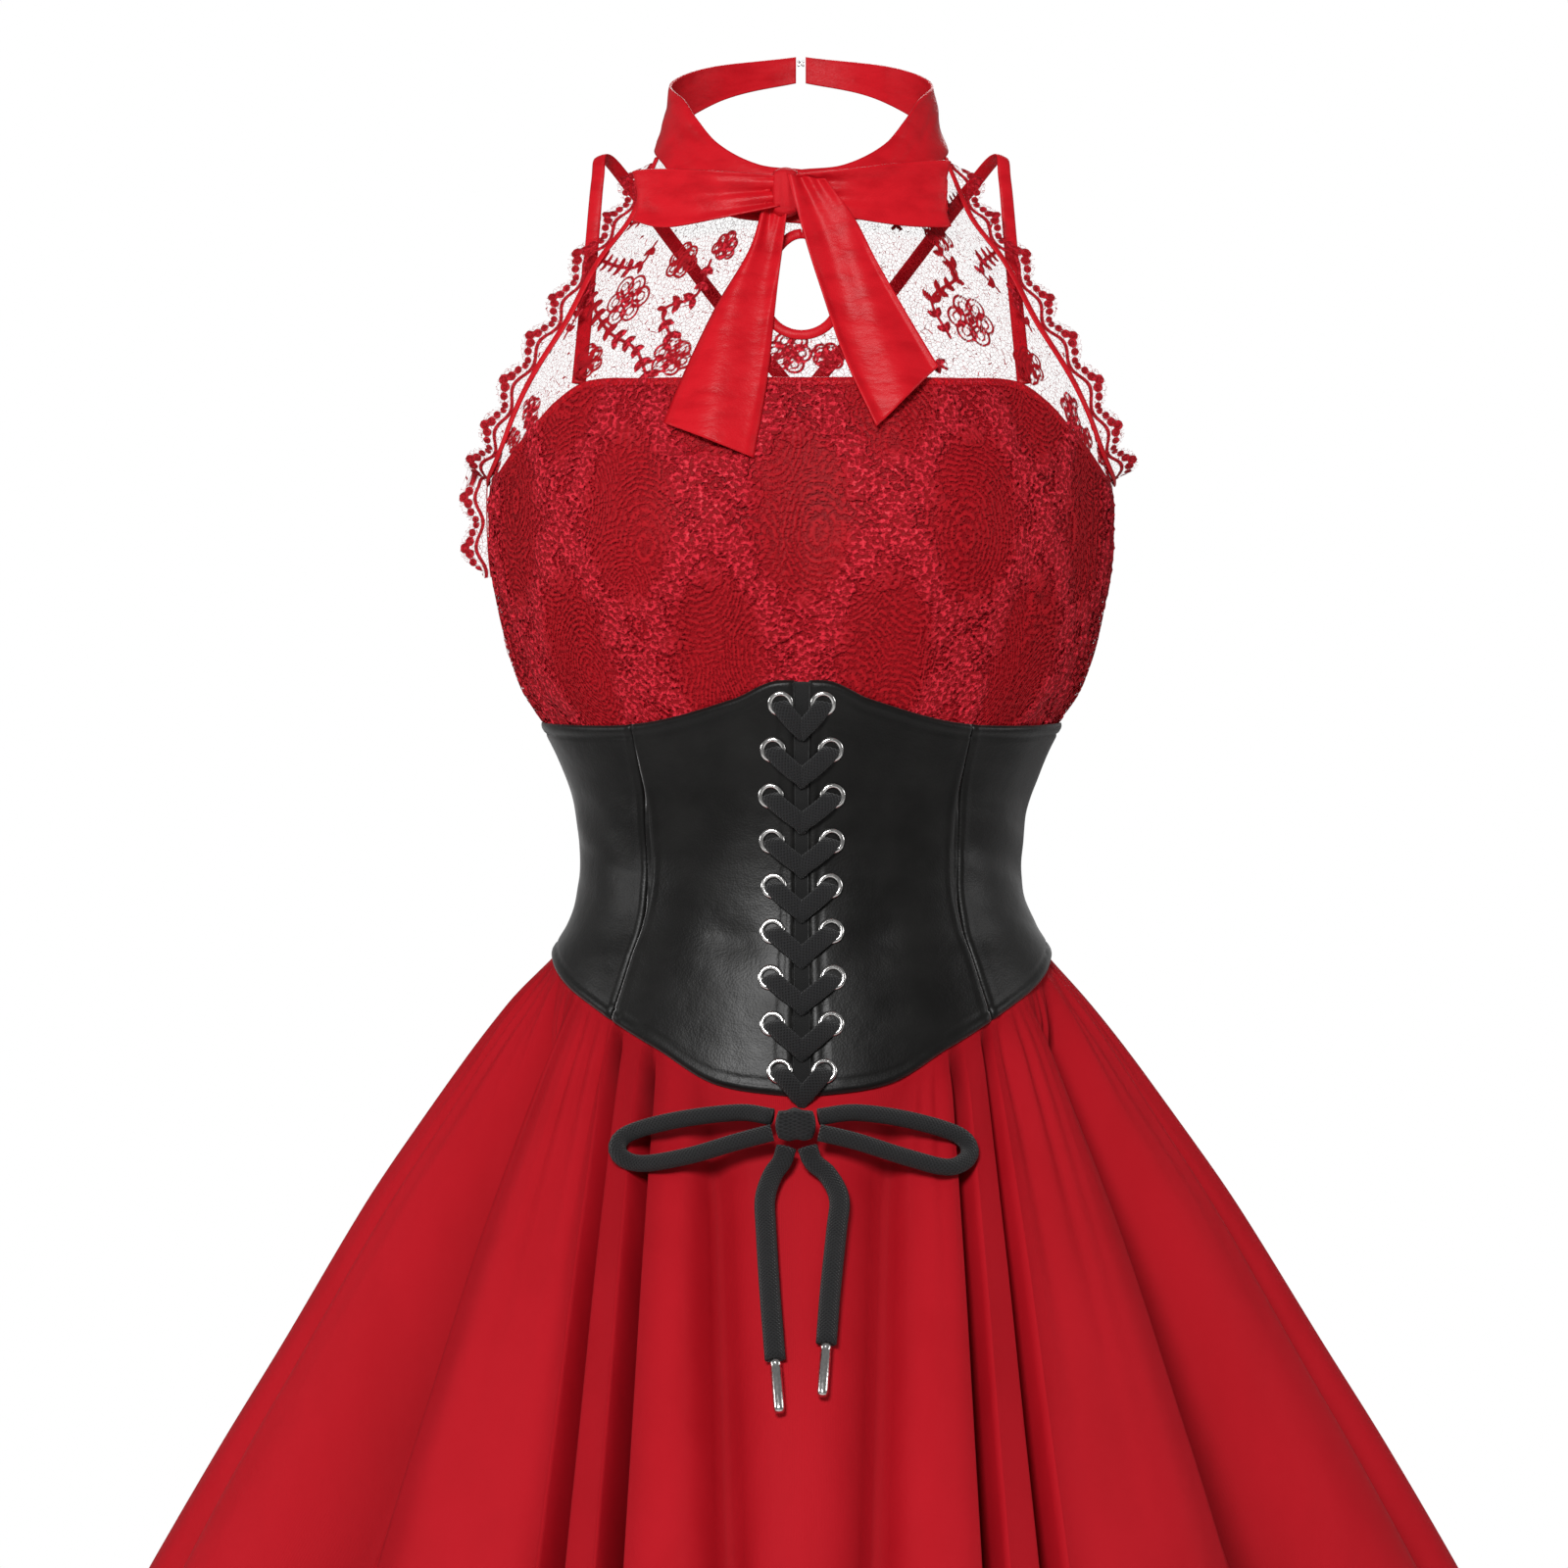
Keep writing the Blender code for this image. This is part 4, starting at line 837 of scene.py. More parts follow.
class Workroom:
    """Cuts, joins and dresses the new pieces."""

    def __init__(self) -> None:
        """Makes every material once."""
        self.finishes = {
            Slot.SATIN: Satin().material(), Slot.LACE: Lace().material(),
            Slot.LINING: Lining().material(), Slot.SKIRT: SkirtCloth().material(),
            Slot.LEATHER: Leather().material(), Slot.CLOTH: Cloth().material(),
            Slot.BRAID: Braid().material(), Slot.SILVER: Silver().material(),
        }
        self.made = 0

    def grid(self, columns: int, rows: int, size: tuple[float, float],
             place: Place) -> bmesh.types.BMesh:
        """Sheet made from a grid whose corners are moved into place.

        Args:
            columns: Squares across.
            rows: Squares up.
            size: Width and height of the flat sheet in metres, for its UV map.
            place: Point for each share across and share up.

        Returns:
            The sheet.
        """
        mesh = bmesh.new()
        bmesh.ops.create_grid(mesh, x_segments=columns, y_segments=rows, size=0.5)
        layer = mesh.loops.layers.uv.new("UVMap")
        for face in mesh.faces:
            for loop in face.loops:
                spot = loop.vert.co
                loop[layer].uv = ((spot.x + 0.5) * size[0], (spot.y + 0.5) * size[1])
        for vert in mesh.verts:
            vert.co = place(vert.co.x + 0.5, vert.co.y + 0.5)
        return mesh

    def tube(self, route: Sequence[Vector], facing: Callable[[int], Vector],
             half: tuple[float, float], sides: int = 14,
             shape: Callable[[float], float] | None = None) -> bmesh.types.BMesh:
        """Flat or round cord along a route, with closed ends.

        Args:
            route: The points of its middle line.
            facing: Direction that its flat side faces at each point, by the point's number.
            half: Half width and half thickness.
            sides: Sides of its section.
            shape: Factor on the section by the share along, if it isn't even.

        Returns:
            The closed cord.
        """
        last = len(route) - 1
        length = route_length(route)

        def place(share: float, run: float) -> Vector:
            k = round(run * last)
            ahead = (route[min(k + 1, last)] - route[max(k - 1, 0)]).normalized()
            side = ahead.cross(facing(k)).normalized()
            normal = side.cross(ahead)
            turn = 2 * math.pi * share
            factor = shape(run) if shape else 1.0
            return (route[k] + side * (half[0] * factor * math.cos(turn))
                    + normal * (half[1] * factor * math.sin(turn)))

        around = 2 * math.pi * max(half) * 0.8
        mesh = self.grid(sides, last, (around, length), place)
        bmesh.ops.remove_doubles(mesh, verts=mesh.verts, dist=1e-6)
        rims = [edge for edge in mesh.edges if edge.is_boundary]
        bmesh.ops.holes_fill(mesh, edges=rims, sides=0)
        bmesh.ops.recalc_face_normals(mesh, faces=mesh.faces)
        return mesh

    def turned(self, profile: Sequence[tuple[float, float]], steps: int) -> bmesh.types.BMesh:
        """Closed ring or rod turned round the Z axis.

        Args:
            profile: Radius and height of each corner.
            steps: Sides of the turned shape.

        Returns:
            The turned shape.
        """
        mesh = bmesh.new()
        corners = [mesh.verts.new((radius, 0, height)) for radius, height in profile]
        edges = [mesh.edges.new((corners[k - 1], corners[k])) for k in range(len(corners))]
        bmesh.ops.spin(mesh, geom=corners + edges, cent=(0, 0, 0), axis=(0, 0, 1),
                       angle=2 * math.pi, steps=steps, use_merge=True)
        bmesh.ops.remove_doubles(mesh, verts=mesh.verts, dist=1e-7)
        bmesh.ops.recalc_face_normals(mesh, faces=mesh.faces)
        return mesh

    def join(self, parts: Sequence[bmesh.types.BMesh]) -> bmesh.types.BMesh:
        """One mesh from several, which are freed.

        Args:
            parts: The meshes to join.

        Returns:
            The joined mesh.
        """
        joined = bmesh.new()
        joined.loops.layers.uv.new("UVMap")
        for part in parts:
            held = bpy.data.meshes.new("part")
            part.to_mesh(held)
            part.free()
            joined.from_mesh(held)
            bpy.data.meshes.remove(held)
        return joined

    def dress(self, name: str, mesh: bmesh.types.BMesh, slot: Slot, nodes: Sequence[str],
              wall: float = 0.0, offset: float = -1.0, rounds: int = 0) -> bpy.types.Object:
        """Makes a mesh a piece of the dress.

        Args:
            name: The piece's name.
            mesh: Its shape, which is freed.
            slot: The finish it takes.
            nodes: The solids it stands for.
            wall: Thickness to give it in metres.
            offset: -1 puts the thickness behind the surface, 1 in front.
            rounds: Levels of subdivision.

        Returns:
            The piece.
        """
        data = bpy.data.meshes.new(name)
        mesh.to_mesh(data)
        mesh.free()
        data.shade_smooth()
        data.materials.append(self.finishes[slot])
        piece = bpy.data.objects.new(name, data)
        bpy.context.scene.collection.objects.link(piece)
        if wall:
            solid = piece.modifiers.new("wall", "SOLIDIFY")
            solid.thickness, solid.offset = wall, offset
        if rounds:
            finer = piece.modifiers.new("finer", "SUBSURF")
            finer.levels = finer.render_levels = rounds
        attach(piece, BODY)
        if nodes:
            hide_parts(*nodes)
        self.made += 1
        LOG.info("%s: %d faces for %s", name, len(data.polygons), ", ".join(nodes) or "trim")
        return piece

    def cloth(self, piece: bpy.types.Object, length: float, held: str,
              rests_on: Sequence[str] = ()) -> None:
        """Logs the cut of a sheet of cloth: as long as given and as wide as its area needs.

        Args:
            piece: The sheet, whose mesh is still one layer.
            length: Length of its cut in metres.
            held: How the dress holds it. Not used.
            rests_on: What it lies on or hangs from. Not used.
        """
        area = sum(face.area for face in piece.data.polygons)
        width = round(area / length, 4)
        LOG.info("%s: cut %.0f by %.0f mm", piece.name, 1000 * width, 1000 * length)


@dataclass
class Motifs:
    """Flowers, leaves and stems of the lace, in flat coordinates on the body form."""

    petals: list = field(default_factory=list)
    leaves: list = field(default_factory=list)
    stems: list = field(default_factory=list)
    stem_step: float = 0.0022

    def flower(self, u: float, v: float, radius: float, turn: float = 0.0, count: int = 6) -> None:
        """Adds a flower: a ring of round petals about a small heart.

        Args:
            u: Place across.
            v: Height.
            radius: Radius over the petals.
            turn: Turn of the first petal in radians.
            count: Number of petals.
        """
        for k in range(count):
            angle = turn + 2 * math.pi * k / count
            reach = radius * (0.60 + 0.06 * math.sin(3 * angle + 40 * u))
            self.petals.append((u + reach * math.cos(angle), v + reach * math.sin(angle),
                                radius * 0.37))
        self.petals.append((u, v, radius * 0.26))
        self.petals.append((u, v, radius * 0.11))

    def leaf(self, u: float, v: float, length: float, turn: float, width: float = 0.42) -> None:
        """Adds a pointed leaf that starts at a point and lies at an angle."""
        self.leaves.append((u + math.cos(turn) * length / 2, v + math.sin(turn) * length / 2,
                            length, length * width / 2, turn))

    def spray(self, path: Sequence[tuple[float, float]], leaf: float, every: float = 0.0085) -> None:
        """Adds a stem with a leaf on either side at even steps.

        Args:
            path: Points of the stem.
            leaf: Length of its leaves.
            every: Distance from one pair of leaves to the next.
        """
        points = [Vector((u, v, 0.0)) for u, v in path]
        line = even_route(points, self.stem_step)
        self.stems += [(a.x, a.y, b.x, b.y) for a, b in zip(line, line[1:])]
        stride = max(2, round(every / self.stem_step))
        for k in range(2, len(line) - 1, stride):
            ahead = line[k + 1] - line[k - 1]
            turn = math.atan2(ahead.y, ahead.x)
            for lean in (0.85, -0.85):
                self.leaf(line[k].x, line[k].y, leaf * (0.85 + 0.15 * math.sin(9.0 * k)), turn + lean)

    def fields(self, spots: dict) -> dict:
        """Distances to the motifs' edges at many points.

        Args:
            spots: Lists of (point number, u, v) by the cell that they lie in.

        Returns:
            For each point near a motif, how far inside one it is and how far from an outline.
        """
        found: dict = {}

        def reach(u: float, v: float, radius: float) -> list:
            cells = [(i, j) for i in range(int((u - radius) // BIN), int((u + radius) // BIN) + 1)
                     for j in range(int((v - radius) // BIN), int((v + radius) // BIN) + 1)]
            return [spot for cell in cells for spot in spots.get(cell, ())]

        def note(number: int, inside: float, line: float) -> None:
            before = found.get(number, (-0.01, 0.01))
            found[number] = (max(before[0], inside), min(before[1], line))

        for u, v, radius in self.petals:
            for number, pu, pv in reach(u, v, radius + 0.003):
                depth = radius - math.hypot(pu - u, pv - v)
                note(number, -0.01, min(abs(depth), abs(depth - radius * 0.55) + 0.0002))
        for u, v, length, half, turn in self.leaves:
            ahead, aside = math.cos(turn), math.sin(turn)
            for number, pu, pv in reach(u, v, length / 2 + 0.003):
                p = (pu - u) * ahead + (pv - v) * aside
                q = (pv - v) * ahead - (pu - u) * aside
                depth = half * (1 - (2 * p / length) ** 2) - abs(q)
                rib = abs(q) if abs(p) < length * 0.42 else 0.01
                note(number, depth, min(abs(depth), rib))
        for au, av, bu, bv in self.stems:
            for number, pu, pv in reach((au + bu) / 2, (av + bv) / 2, 0.004):
                span = max((bu - au) ** 2 + (bv - av) ** 2, 1e-12)
                share = min(1.0, max(0.0, ((pu - au) * (bu - au) + (pv - av) * (bv - av)) / span))
                gap = math.hypot(pu - au - share * (bu - au), pv - av - share * (bv - av))
                note(number, -0.01, gap * 0.8)
        return found


@dataclass
class LaceBodice:
    """Lace front with its sheer yoke, the lining under it, the plain back and the bindings."""

    room: Workroom
    body: BodyForm
    out: float = 0.0020
    keyhole_top: float = -0.070
    keyhole_bottom: float = -0.128
    keyhole_half: float = 0.021
    columns: int = 330
    rows: int = 240
    motifs: Motifs = field(default_factory=Motifs)
    clusters: list = field(default_factory=list)
    blossoms: tuple = ((0, 0, 0.0120), (0.017, 0.011, 0.0085), (-0.016, 0.014, 0.0080),
                       (0.013, -0.018, 0.0090), (-0.015, -0.016, 0.0085),
                       (0.002, 0.030, 0.0075), (-0.002, -0.034, 0.0080))
    pitch_u: float = 0.0860
    pitch_v: float = 0.1580
    pitch_top: float = -0.148
    cluster_reach: float = 0.024

    def in_keyhole(self, x: float, z: float, grow: float = 0.0) -> bool:
        """Whether a point lies in the drop-shaped opening."""
        height = (self.keyhole_top - self.keyhole_bottom) / 2 + grow
        middle = (self.keyhole_top + self.keyhole_bottom) / 2
        rise = (middle - z) / height
        if abs(rise) >= 1:
            return False
        width = (self.keyhole_half + grow) * (1 + 0.18 * rise) * math.sqrt(1 - rise * rise)
        return abs(x) < width

    def keyhole_route(self, out: float) -> list[Vector]:
        """Middle line of the binding round the opening, which is widest above its foot.

        Args:
            out: Distance out from the body.

        Returns:
            The closed route, from the top round to the top.
        """
        route = []
        for k in range(65):
            turn = math.pi + 2 * math.pi * k / 64
            height = (self.keyhole_top - self.keyhole_bottom) / 2
            z = (self.keyhole_top + self.keyhole_bottom) / 2 - height * math.cos(turn)
            width = self.keyhole_half * (1 + 0.18 * math.cos(turn))
            route.append(self.body.chest(width * math.sin(turn), z, out))
        return route

    def plan_motifs(self) -> None:
        """Places the flowers of the yoke, and the lozenges of flowers and leaves below them."""
        body = self.body

        def at(x: float, z: float) -> tuple[float, float]:
            return body.degrees_at(x, z) * DEGREE, z

        for x, z, radius in ((-0.0966, -0.1053, 0.0150), (-0.0714, -0.1389, 0.0115),
                             (-0.0658, -0.0840, 0.0105), (-0.0070, -0.1372, 0.0120),
                             (0.0742, -0.0672, 0.0110), (0.0938, -0.1176, 0.0150),
                             (0.0150, -0.1400, 0.0085), (-0.1180, -0.1400, 0.0100),
                             (0.1260, -0.1420, 0.0110), (-0.0420, -0.0760, 0.0085)):
            self.motifs.flower(*at(x, z), radius, 20 * x, 6)
        for path, leaf in (
                (((-0.118, -0.094), (-0.108, -0.122), (-0.092, -0.134), (-0.085, -0.150)), 0.0075),
                (((-0.080, -0.072), (-0.090, -0.086), (-0.106, -0.084), (-0.116, -0.072)), 0.0070),
                (((-0.050, -0.084), (-0.058, -0.104), (-0.076, -0.112), (-0.072, -0.128)), 0.0070),
                (((-0.062, -0.148), (-0.045, -0.140), (-0.030, -0.148), (-0.018, -0.140)), 0.0070),
                (((0.028, -0.144), (0.046, -0.150), (0.064, -0.140), (0.080, -0.146)), 0.0070),
                (((0.110, -0.100), (0.100, -0.084), (0.112, -0.066), (0.104, -0.052)), 0.0075),
                (((0.082, -0.128), (0.072, -0.106), (0.086, -0.092), (0.076, -0.078)), 0.0075),
                (((0.128, -0.122), (0.118, -0.100), (0.126, -0.084), (0.122, -0.070)), 0.0070),
                (((-0.132, -0.126), (-0.124, -0.108), (-0.130, -0.094), (-0.124, -0.078)), 0.0070),
                (((0.050, -0.066), (0.060, -0.056), (0.078, -0.052), (0.090, -0.044)), 0.0065),
                (((-0.070, -0.058), (-0.082, -0.054), (-0.094, -0.060), (-0.104, -0.052)), 0.0065)):
            self.motifs.spray([at(x, z) for x, z in path], leaf)
        for row in range(-2, 1):
            for column in range(-3, 4):
                u = (column + 0.5 * (row % 2)) * self.pitch_u
                v = self.pitch_top + row * self.pitch_v / 2
                self.lozenge(u, v, self.pitch_u, self.pitch_v, (column + 2 * row) % 3)

    def lozenge(self, u: float, v: float, wide: float, high: float, kind: int) -> None:
        """Adds one lozenge: a cluster of flowers at its corner, blossoms and leaves down its sides.

        Args:
            u: Corner's place across.
            v: Corner's height.
            wide: Width of a lozenge.
            high: Height of a lozenge.
            kind: Which of three makings it has.
        """
        self.clusters.append((u, v))
        for k, (du, dv, radius) in enumerate(self.blossoms):
            if v + dv < -0.160:
                self.motifs.flower(u + du, v + dv, radius, 0.7 * kind + k, 5 + k % 2)
        for side in (-1, 1):
            for share in (0.20, 0.36, 0.52, 0.68):
                wobble = 0.004 * math.sin(17 * share + kind)
                spot = (u + side * wide * 0.5 * share + wobble, v - high * 0.5 * share)
                if spot[1] < -0.165:
                    self.motifs.flower(*spot, 0.0078 + 0.0012 * math.sin(9 * share), kind + share, 5)
            points = [(u + side * wide * 0.5 * k / 4 + 0.006 * math.sin(2.2 * k + kind), v - high * k / 8)
                      for k in range(5)]
            points = [point for point in points if point[1] < -0.158]
            if len(points) > 2:
                self.motifs.spray(points, 0.0068, 0.0075)

    def make_lace(self) -> None:
        """Lace front, open at the keyhole and sheer above the lining."""
        body = self.body
        self.plan_motifs()
        tops = {}

        def top(u: float) -> float:
            if u not in tops:
                z = -0.02
                for _ in range(5):
                    z = body.edge("collar_bottom", u * body.armhole_degrees(z)) + 0.0042
                tops[u] = z
            return tops[u]

        def spot(u: float, v: float) -> tuple[float, float]:
            across = 2 * u - 1
            z = blend(body.edge("corset_top", across * 90) - 0.006, top(across), v)
            return across * body.armhole_degrees(z), z

        mesh = bmesh.new()
        bmesh.ops.create_grid(mesh, x_segments=self.columns, y_segments=self.rows, size=0.5)
        layer = mesh.loops.layers.uv.new("UVMap")
        inside, line, solid, backed, cluster = (
            mesh.verts.layers.float.new(word) for word in ("inside", "line", "solid", "backed", "cluster"))
        flat, bins = {}, {}
        mesh.verts.index_update()
        for vert in mesh.verts:
            degrees, z = spot(vert.co.x + 0.5, vert.co.y + 0.5)
            flat[vert.index] = (degrees, z)
            u = degrees * DEGREE
            bins.setdefault((int(u // BIN), int(z // BIN)), []).append((vert.index, u, z))
        found = self.motifs.fields(bins)
        for face in mesh.faces:
            for loop in face.loops:
                degrees, z = flat[loop.vert.index]
                loop[layer].uv = (0.5 + degrees * DEGREE, 0.5 + z)
        holes = []
        for vert in mesh.verts:
            degrees, z = flat[vert.index]
            deep, gap = found.get(vert.index, (-0.01, 0.01))
            vert[inside], vert[line] = deep, gap
            rim = (body.armhole_degrees(z) - abs(degrees)) * DEGREE
            vert[solid] = 1.0 if rim < 0.0012 and z > -0.2 else 0.0
            relief = 0.0007 * smooth(0.0, 0.0012, deep) + 0.0004 * (1 - smooth(0.0004, 0.0014, gap))
            below = smooth(0.0, 0.012, body.edge("lining_top", degrees) - z)
            vert[backed] = smooth(-0.001, 0.001, body.edge("lining_top", degrees) - z)
            u = degrees * DEGREE
            # Share of painted highlight, which also picks the lace's grain: the flower clusters, the
            # lozenge bands and the bodice's sides are painted lighter.
            near = sum(bell(math.hypot((u - cu) * 1.25, (z - cv) * 0.8), self.cluster_reach)
                       for cu, cv in self.clusters)
            leaning = [u / self.pitch_u + sign * (z - self.pitch_top) / self.pitch_v for sign in (1, -1)]
            band = max(bell(abs(turn - round(turn)), 0.11) for turn in leaning)
            vert[cluster] = min(1.0, near + 0.70 * band + 0.75 * smooth(66, 84, abs(degrees)))
            side = smooth(58, 84, abs(degrees)) * below
            pleat = 0.0011 * side * math.sin(degrees * 1.9 + 6 * noise.noise((degrees * 0.03, 0, z * 9)))
            ripple = 0.0006 * noise.noise((degrees * 0.35, 0.3, z * 22)) * below
            place = body.surface(degrees, z, self.out + relief * (0.5 + 0.5 * below) + pleat + ripple)
            if self.in_keyhole(place.x, z, -0.0010):
                holes.append(vert)
            vert.co = place
        bmesh.ops.delete(mesh, geom=holes, context="VERTS")
        piece = self.room.dress("bodice_lace", mesh, Slot.LACE, ["lace_front"])
        self.room.cloth(piece, 0.335, "hung", ["bodice_front"])

    def make_lining(self) -> None:
        """Lining of the front and the plain back."""
        body = self.body

        def front(u: float, v: float) -> Vector:
            degrees = (2 * u - 1) * 90
            z = blend(body.edge("corset_top", degrees) - 0.007, body.edge("lining_top", degrees), v)
            crease = 0.0004 * noise.noise((degrees * 0.10, 0, z * 30))
            return body.surface(degrees, z, 0.0009 + crease)

        def back(u: float, v: float) -> Vector:
            degrees = 90.0 + u * 180.0
            z = blend(-0.345, -0.2070, v)
            seam = 0.0010 * (bell(degrees - 135, 0.7) + bell(degrees - 225, 0.7) + bell(degrees - 180, 0.6))
            crease = 0.0010 * noise.noise((degrees * 0.06, 0, z * 34)) * smooth(0.0, 0.10, v)
            rim = 0.0007 * smooth(0.955, 0.965, v)
            return body.surface(degrees, z, 0.0012 + crease - seam + rim)

        pieces = (("bodice_lining", front, "bodice_front", (0.47, 0.19)),
                  ("bodice_back_panel", back, "bodice_back", (0.43, 0.14)))
        for name, place, node, size in pieces:
            mesh = self.room.grid(130, 70, size, place)
            slot = Slot.LINING if name == "bodice_lining" else Slot.SATIN
            piece = self.room.dress(name, mesh, slot, [node], 0.0008)
            self.room.cloth(piece, size[1], "hung", ["corset_back"])

    def make_bindings(self) -> None:
        """Satin bindings round the keyhole, along the armholes and on the lining's top edge."""
        body = self.body
        route = self.keyhole_route(0.0034)
        ring = self.room.tube(route, lambda k: Vector((0, -1, 0.1)), (0.0028, 0.0011), 12)
        self.room.dress("keyhole_trim", ring, Slot.SATIN, ["keyhole_binding"])
        for side in Side:
            path = [Vector(along(body.armhole, k / 90)[:2] + [0]) for k in range(91)]
            path = [(a - 0.9, z) for a, z, _ in path if z < body.edge("collar_bottom", a) - 0.0004]
            line = [body.surface(side.value * a, z, 0.0034) for a, z in path]
            outs = [body.surface(side.value * a, z, 0.0134) for a, z in path]
            mesh = self.room.tube(line, lambda k: outs[k] - line[k], (0.0024, 0.0010), 12)
            self.room.dress(f"armhole_trim_{side.word}", mesh, Slot.SATIN,
                            [f"armhole_binding_{side.word}"])
        line, outs = [], []
        for k in range(181):
            degrees = -90 + k
            z = body.edge("lining_top", degrees) - 0.0012
            line.append(body.surface(degrees, z, 0.0011))
            outs.append(body.surface(degrees, z, 0.0111))
        mesh = self.room.tube(line, lambda k: outs[k] - line[k], (0.0024, 0.0008), 10)
        self.room.dress("lining_top_hem", mesh, Slot.SATIN, [])

    def make(self) -> None:
        """Makes every piece of the bodice."""
        self.make_lining()
        self.make_lace()
        self.make_bindings()


@dataclass
class Edging:
    """Scalloped lace edge that stands out round each armhole."""

    room: Workroom
    body: BodyForm
    width: float = 0.0085
    scallop: float = 0.0085
    pitch: float = 0.028
    step: float = 0.0008
    across: int = 24
    dot: float = 0.0005
    buds: tuple = ((0.0, 0.0145, 0.0021), (0.0034, 0.0115, 0.0019),
                   (0.0082, 0.0098, 0.0015), (0.0125, 0.0072, 0.0013))

    def line(self, side: Side) -> list[Vector]:
        """Foot of the edging along the armhole.

        Args:
            side: Which armhole.

        Returns:
            Even points from the collar down.
        """
        body = self.body
        path = [along(body.armhole, k / 900) for k in range(901)]
        points = [body.surface(a, z, 0.0015) for a, z in path if z < -0.024]
        if side is Side.LEFT:
            points += [body.surface(90, -0.2035 - 0.0005 * k, 0.0031) for k in range(1, 107)]
        points = [Vector((side.value * p.x, p.y, p.z)) for p in points]
        lengths = [0.0]
        for before, after in zip(points, points[1:]):
            lengths.append(lengths[-1] + (after - before).length)
        count = round(lengths[-1] / self.step)
        return [points[min(len(points) - 1, bisect.bisect_left(lengths, lengths[-1] * k / count))]
                for k in range(count + 1)]

    def make(self) -> None:
        """Makes both edgings, with their dotted net, corded waves and bud-like scallops."""
        for side in Side:
            line = self.line(side)
            last = len(line) - 1
            run = last * self.step

            def reach(v: float) -> float:
                swell = abs(math.sin(math.pi * v * run / self.pitch)) ** 0.7
                taper = smooth(-0.004, 0.014, v * run) * smooth(-0.004, 0.014, run - v * run)
                ripple = 0.0006 * abs(math.sin(math.pi * v * run / 0.0035))
                return (self.width + self.scallop * swell) * (0.25 + 0.75 * taper) + ripple

            def place(u: float, v: float) -> Vector:
                k = round(v * last)
                ahead = (line[min(k + 3, last)] - line[max(k - 3, 0)]).normalized()
                lean = Vector((side.value * 0.9, 0.28, 0.25))
                outward = (lean - ahead * lean.dot(ahead)).normalized()
                facing = ahead.cross(outward).normalized() * -side.value
                wave = 0.0013 * math.sin(2 * math.pi * v * run / self.pitch) * u
                return line[k] + outward * (0.0006 + u * reach(v)) + facing * (0.0005 + wave)

            mesh = self.room.grid(self.across, last, (0.017, run), place)
            inside, edge, solid, cluster = (
                mesh.verts.layers.float.new(word) for word in ("inside", "line", "solid", "cluster"))
            mesh.verts.index_update()
            for vert in mesh.verts:
                row, column = divmod(vert.index, self.across + 1)
                u, spot = column / self.across, row * self.step
                high = u * reach(row / last)
                phase = (spot / self.pitch) % 1.0 - 0.5
                spread = abs(phase) * self.pitch
                wave = abs(high - 0.0052 - 0.0024 * math.cos(2 * math.pi * phase)) - 0.0004
                buds = [math.hypot(spread - away, high - up) - radius for away, up, radius in self.buds]
                dots = math.hypot(spot % 0.0034 - 0.0017, high % 0.0030 - 0.0015) - self.dot
                vert[edge] = min(high, max(wave, 0.0), min(abs(bud) for bud in buds))
                vert[inside] = max(-dots, -min(buds) * 0.6)
                vert[solid] = 0.0
                # Even share of painted highlight over the edging.
                vert[cluster] = 0.35
            piece = self.room.dress(f"lace_edging_{side.word}", mesh, Slot.LACE, [f"edging_{side.word}"])
            self.room.cloth(piece, round(run, 3), "gathered", ["lace_front"])


@dataclass
class Collar:
    """Satin neckband with its creases, the hook and the eye at the nape."""

    room: Workroom
    body: BodyForm
    out: float = 0.0028
    wall: float = 0.0014

    def band(self, name: str, node: str, first: float, last: float, creases: float) -> None:
        """Makes one piece of the neckband.

        Args:
            name: The piece's name.
            node: The solid it stands for.
            first: Its first angle.
            last: Its last angle.
            creases: Depth of the creases in the satin.
        """
        body = self.body

        def place(u: float, v: float) -> Vector:
            degrees = blend(first, last, u)
            low, high = body.edge("collar_bottom", degrees), body.edge("collar_top", degrees)
            z = blend(low, high, v)
            rim = 0.0007 * (bell(v, 0.06) + bell(1 - v, 0.06))
            slack = noise.noise((degrees * 0.022, 1.7, v * 2.4 + degrees * 0.012))
            fine = noise.noise((degrees * 0.05, 4.1, v * 6.5 - degrees * 0.03))
            crease = creases * (slack + 0.45 * fine) * smooth(0, 0.12, v) * smooth(0, 0.12, 1 - v)
            return body.surface(degrees, z, self.out + 0.0003 - rim * 0.5 + crease)

        columns = max(20, round(abs(last - first) * 1.1))
        size = (abs(last - first) * 0.0014, 0.034)
        mesh = self.room.grid(columns, 26, size, place)
        piece = self.room.dress(name, mesh, Slot.SATIN, [node], self.wall, 1.0)
        self.room.cloth(piece, size[1], "stretched")

    def make_clasp(self) -> None:
        """Wire hook and eye, which meet in the gap at the nape."""
        for node, sign in (("nape_hook", 1), ("nape_eye", -1)):
            z = self.body.edge("collar_top", 180) - 0.004
            start = self.body.surface(180 - sign * 2.2, z, 0.0036)
            reach = start.x - sign * 0.0009
            points = [(reach, start.y, z - 0.0014), (reach - sign * 0.0010, start.y, z - 0.0009),
                      (reach - sign * 0.0015, start.y, z), (reach - sign * 0.0010, start.y, z + 0.0009),
                      (reach, start.y, z + 0.0014)]
            route = even_route([Vector(point) for point in points], 0.0004)
            mesh = self.room.tube(route, lambda k: Vector((0, 1, 0)), (0.0006, 0.0006), 10)
            self.room.dress(f"{node}_wire", mesh, Slot.SILVER, [node])

    def make(self) -> None:
        """Makes the collar."""
        self.band("neckband_front", "collar_front", -97.2, 97.2, 0.0011)
        self.band("neckband_back_right", "collar_back_right", 97.8, 177.8, 0.0004)
        self.band("neckband_back_left", "collar_back_left", -177.8, -97.8, 0.0004)
        self.make_clasp()


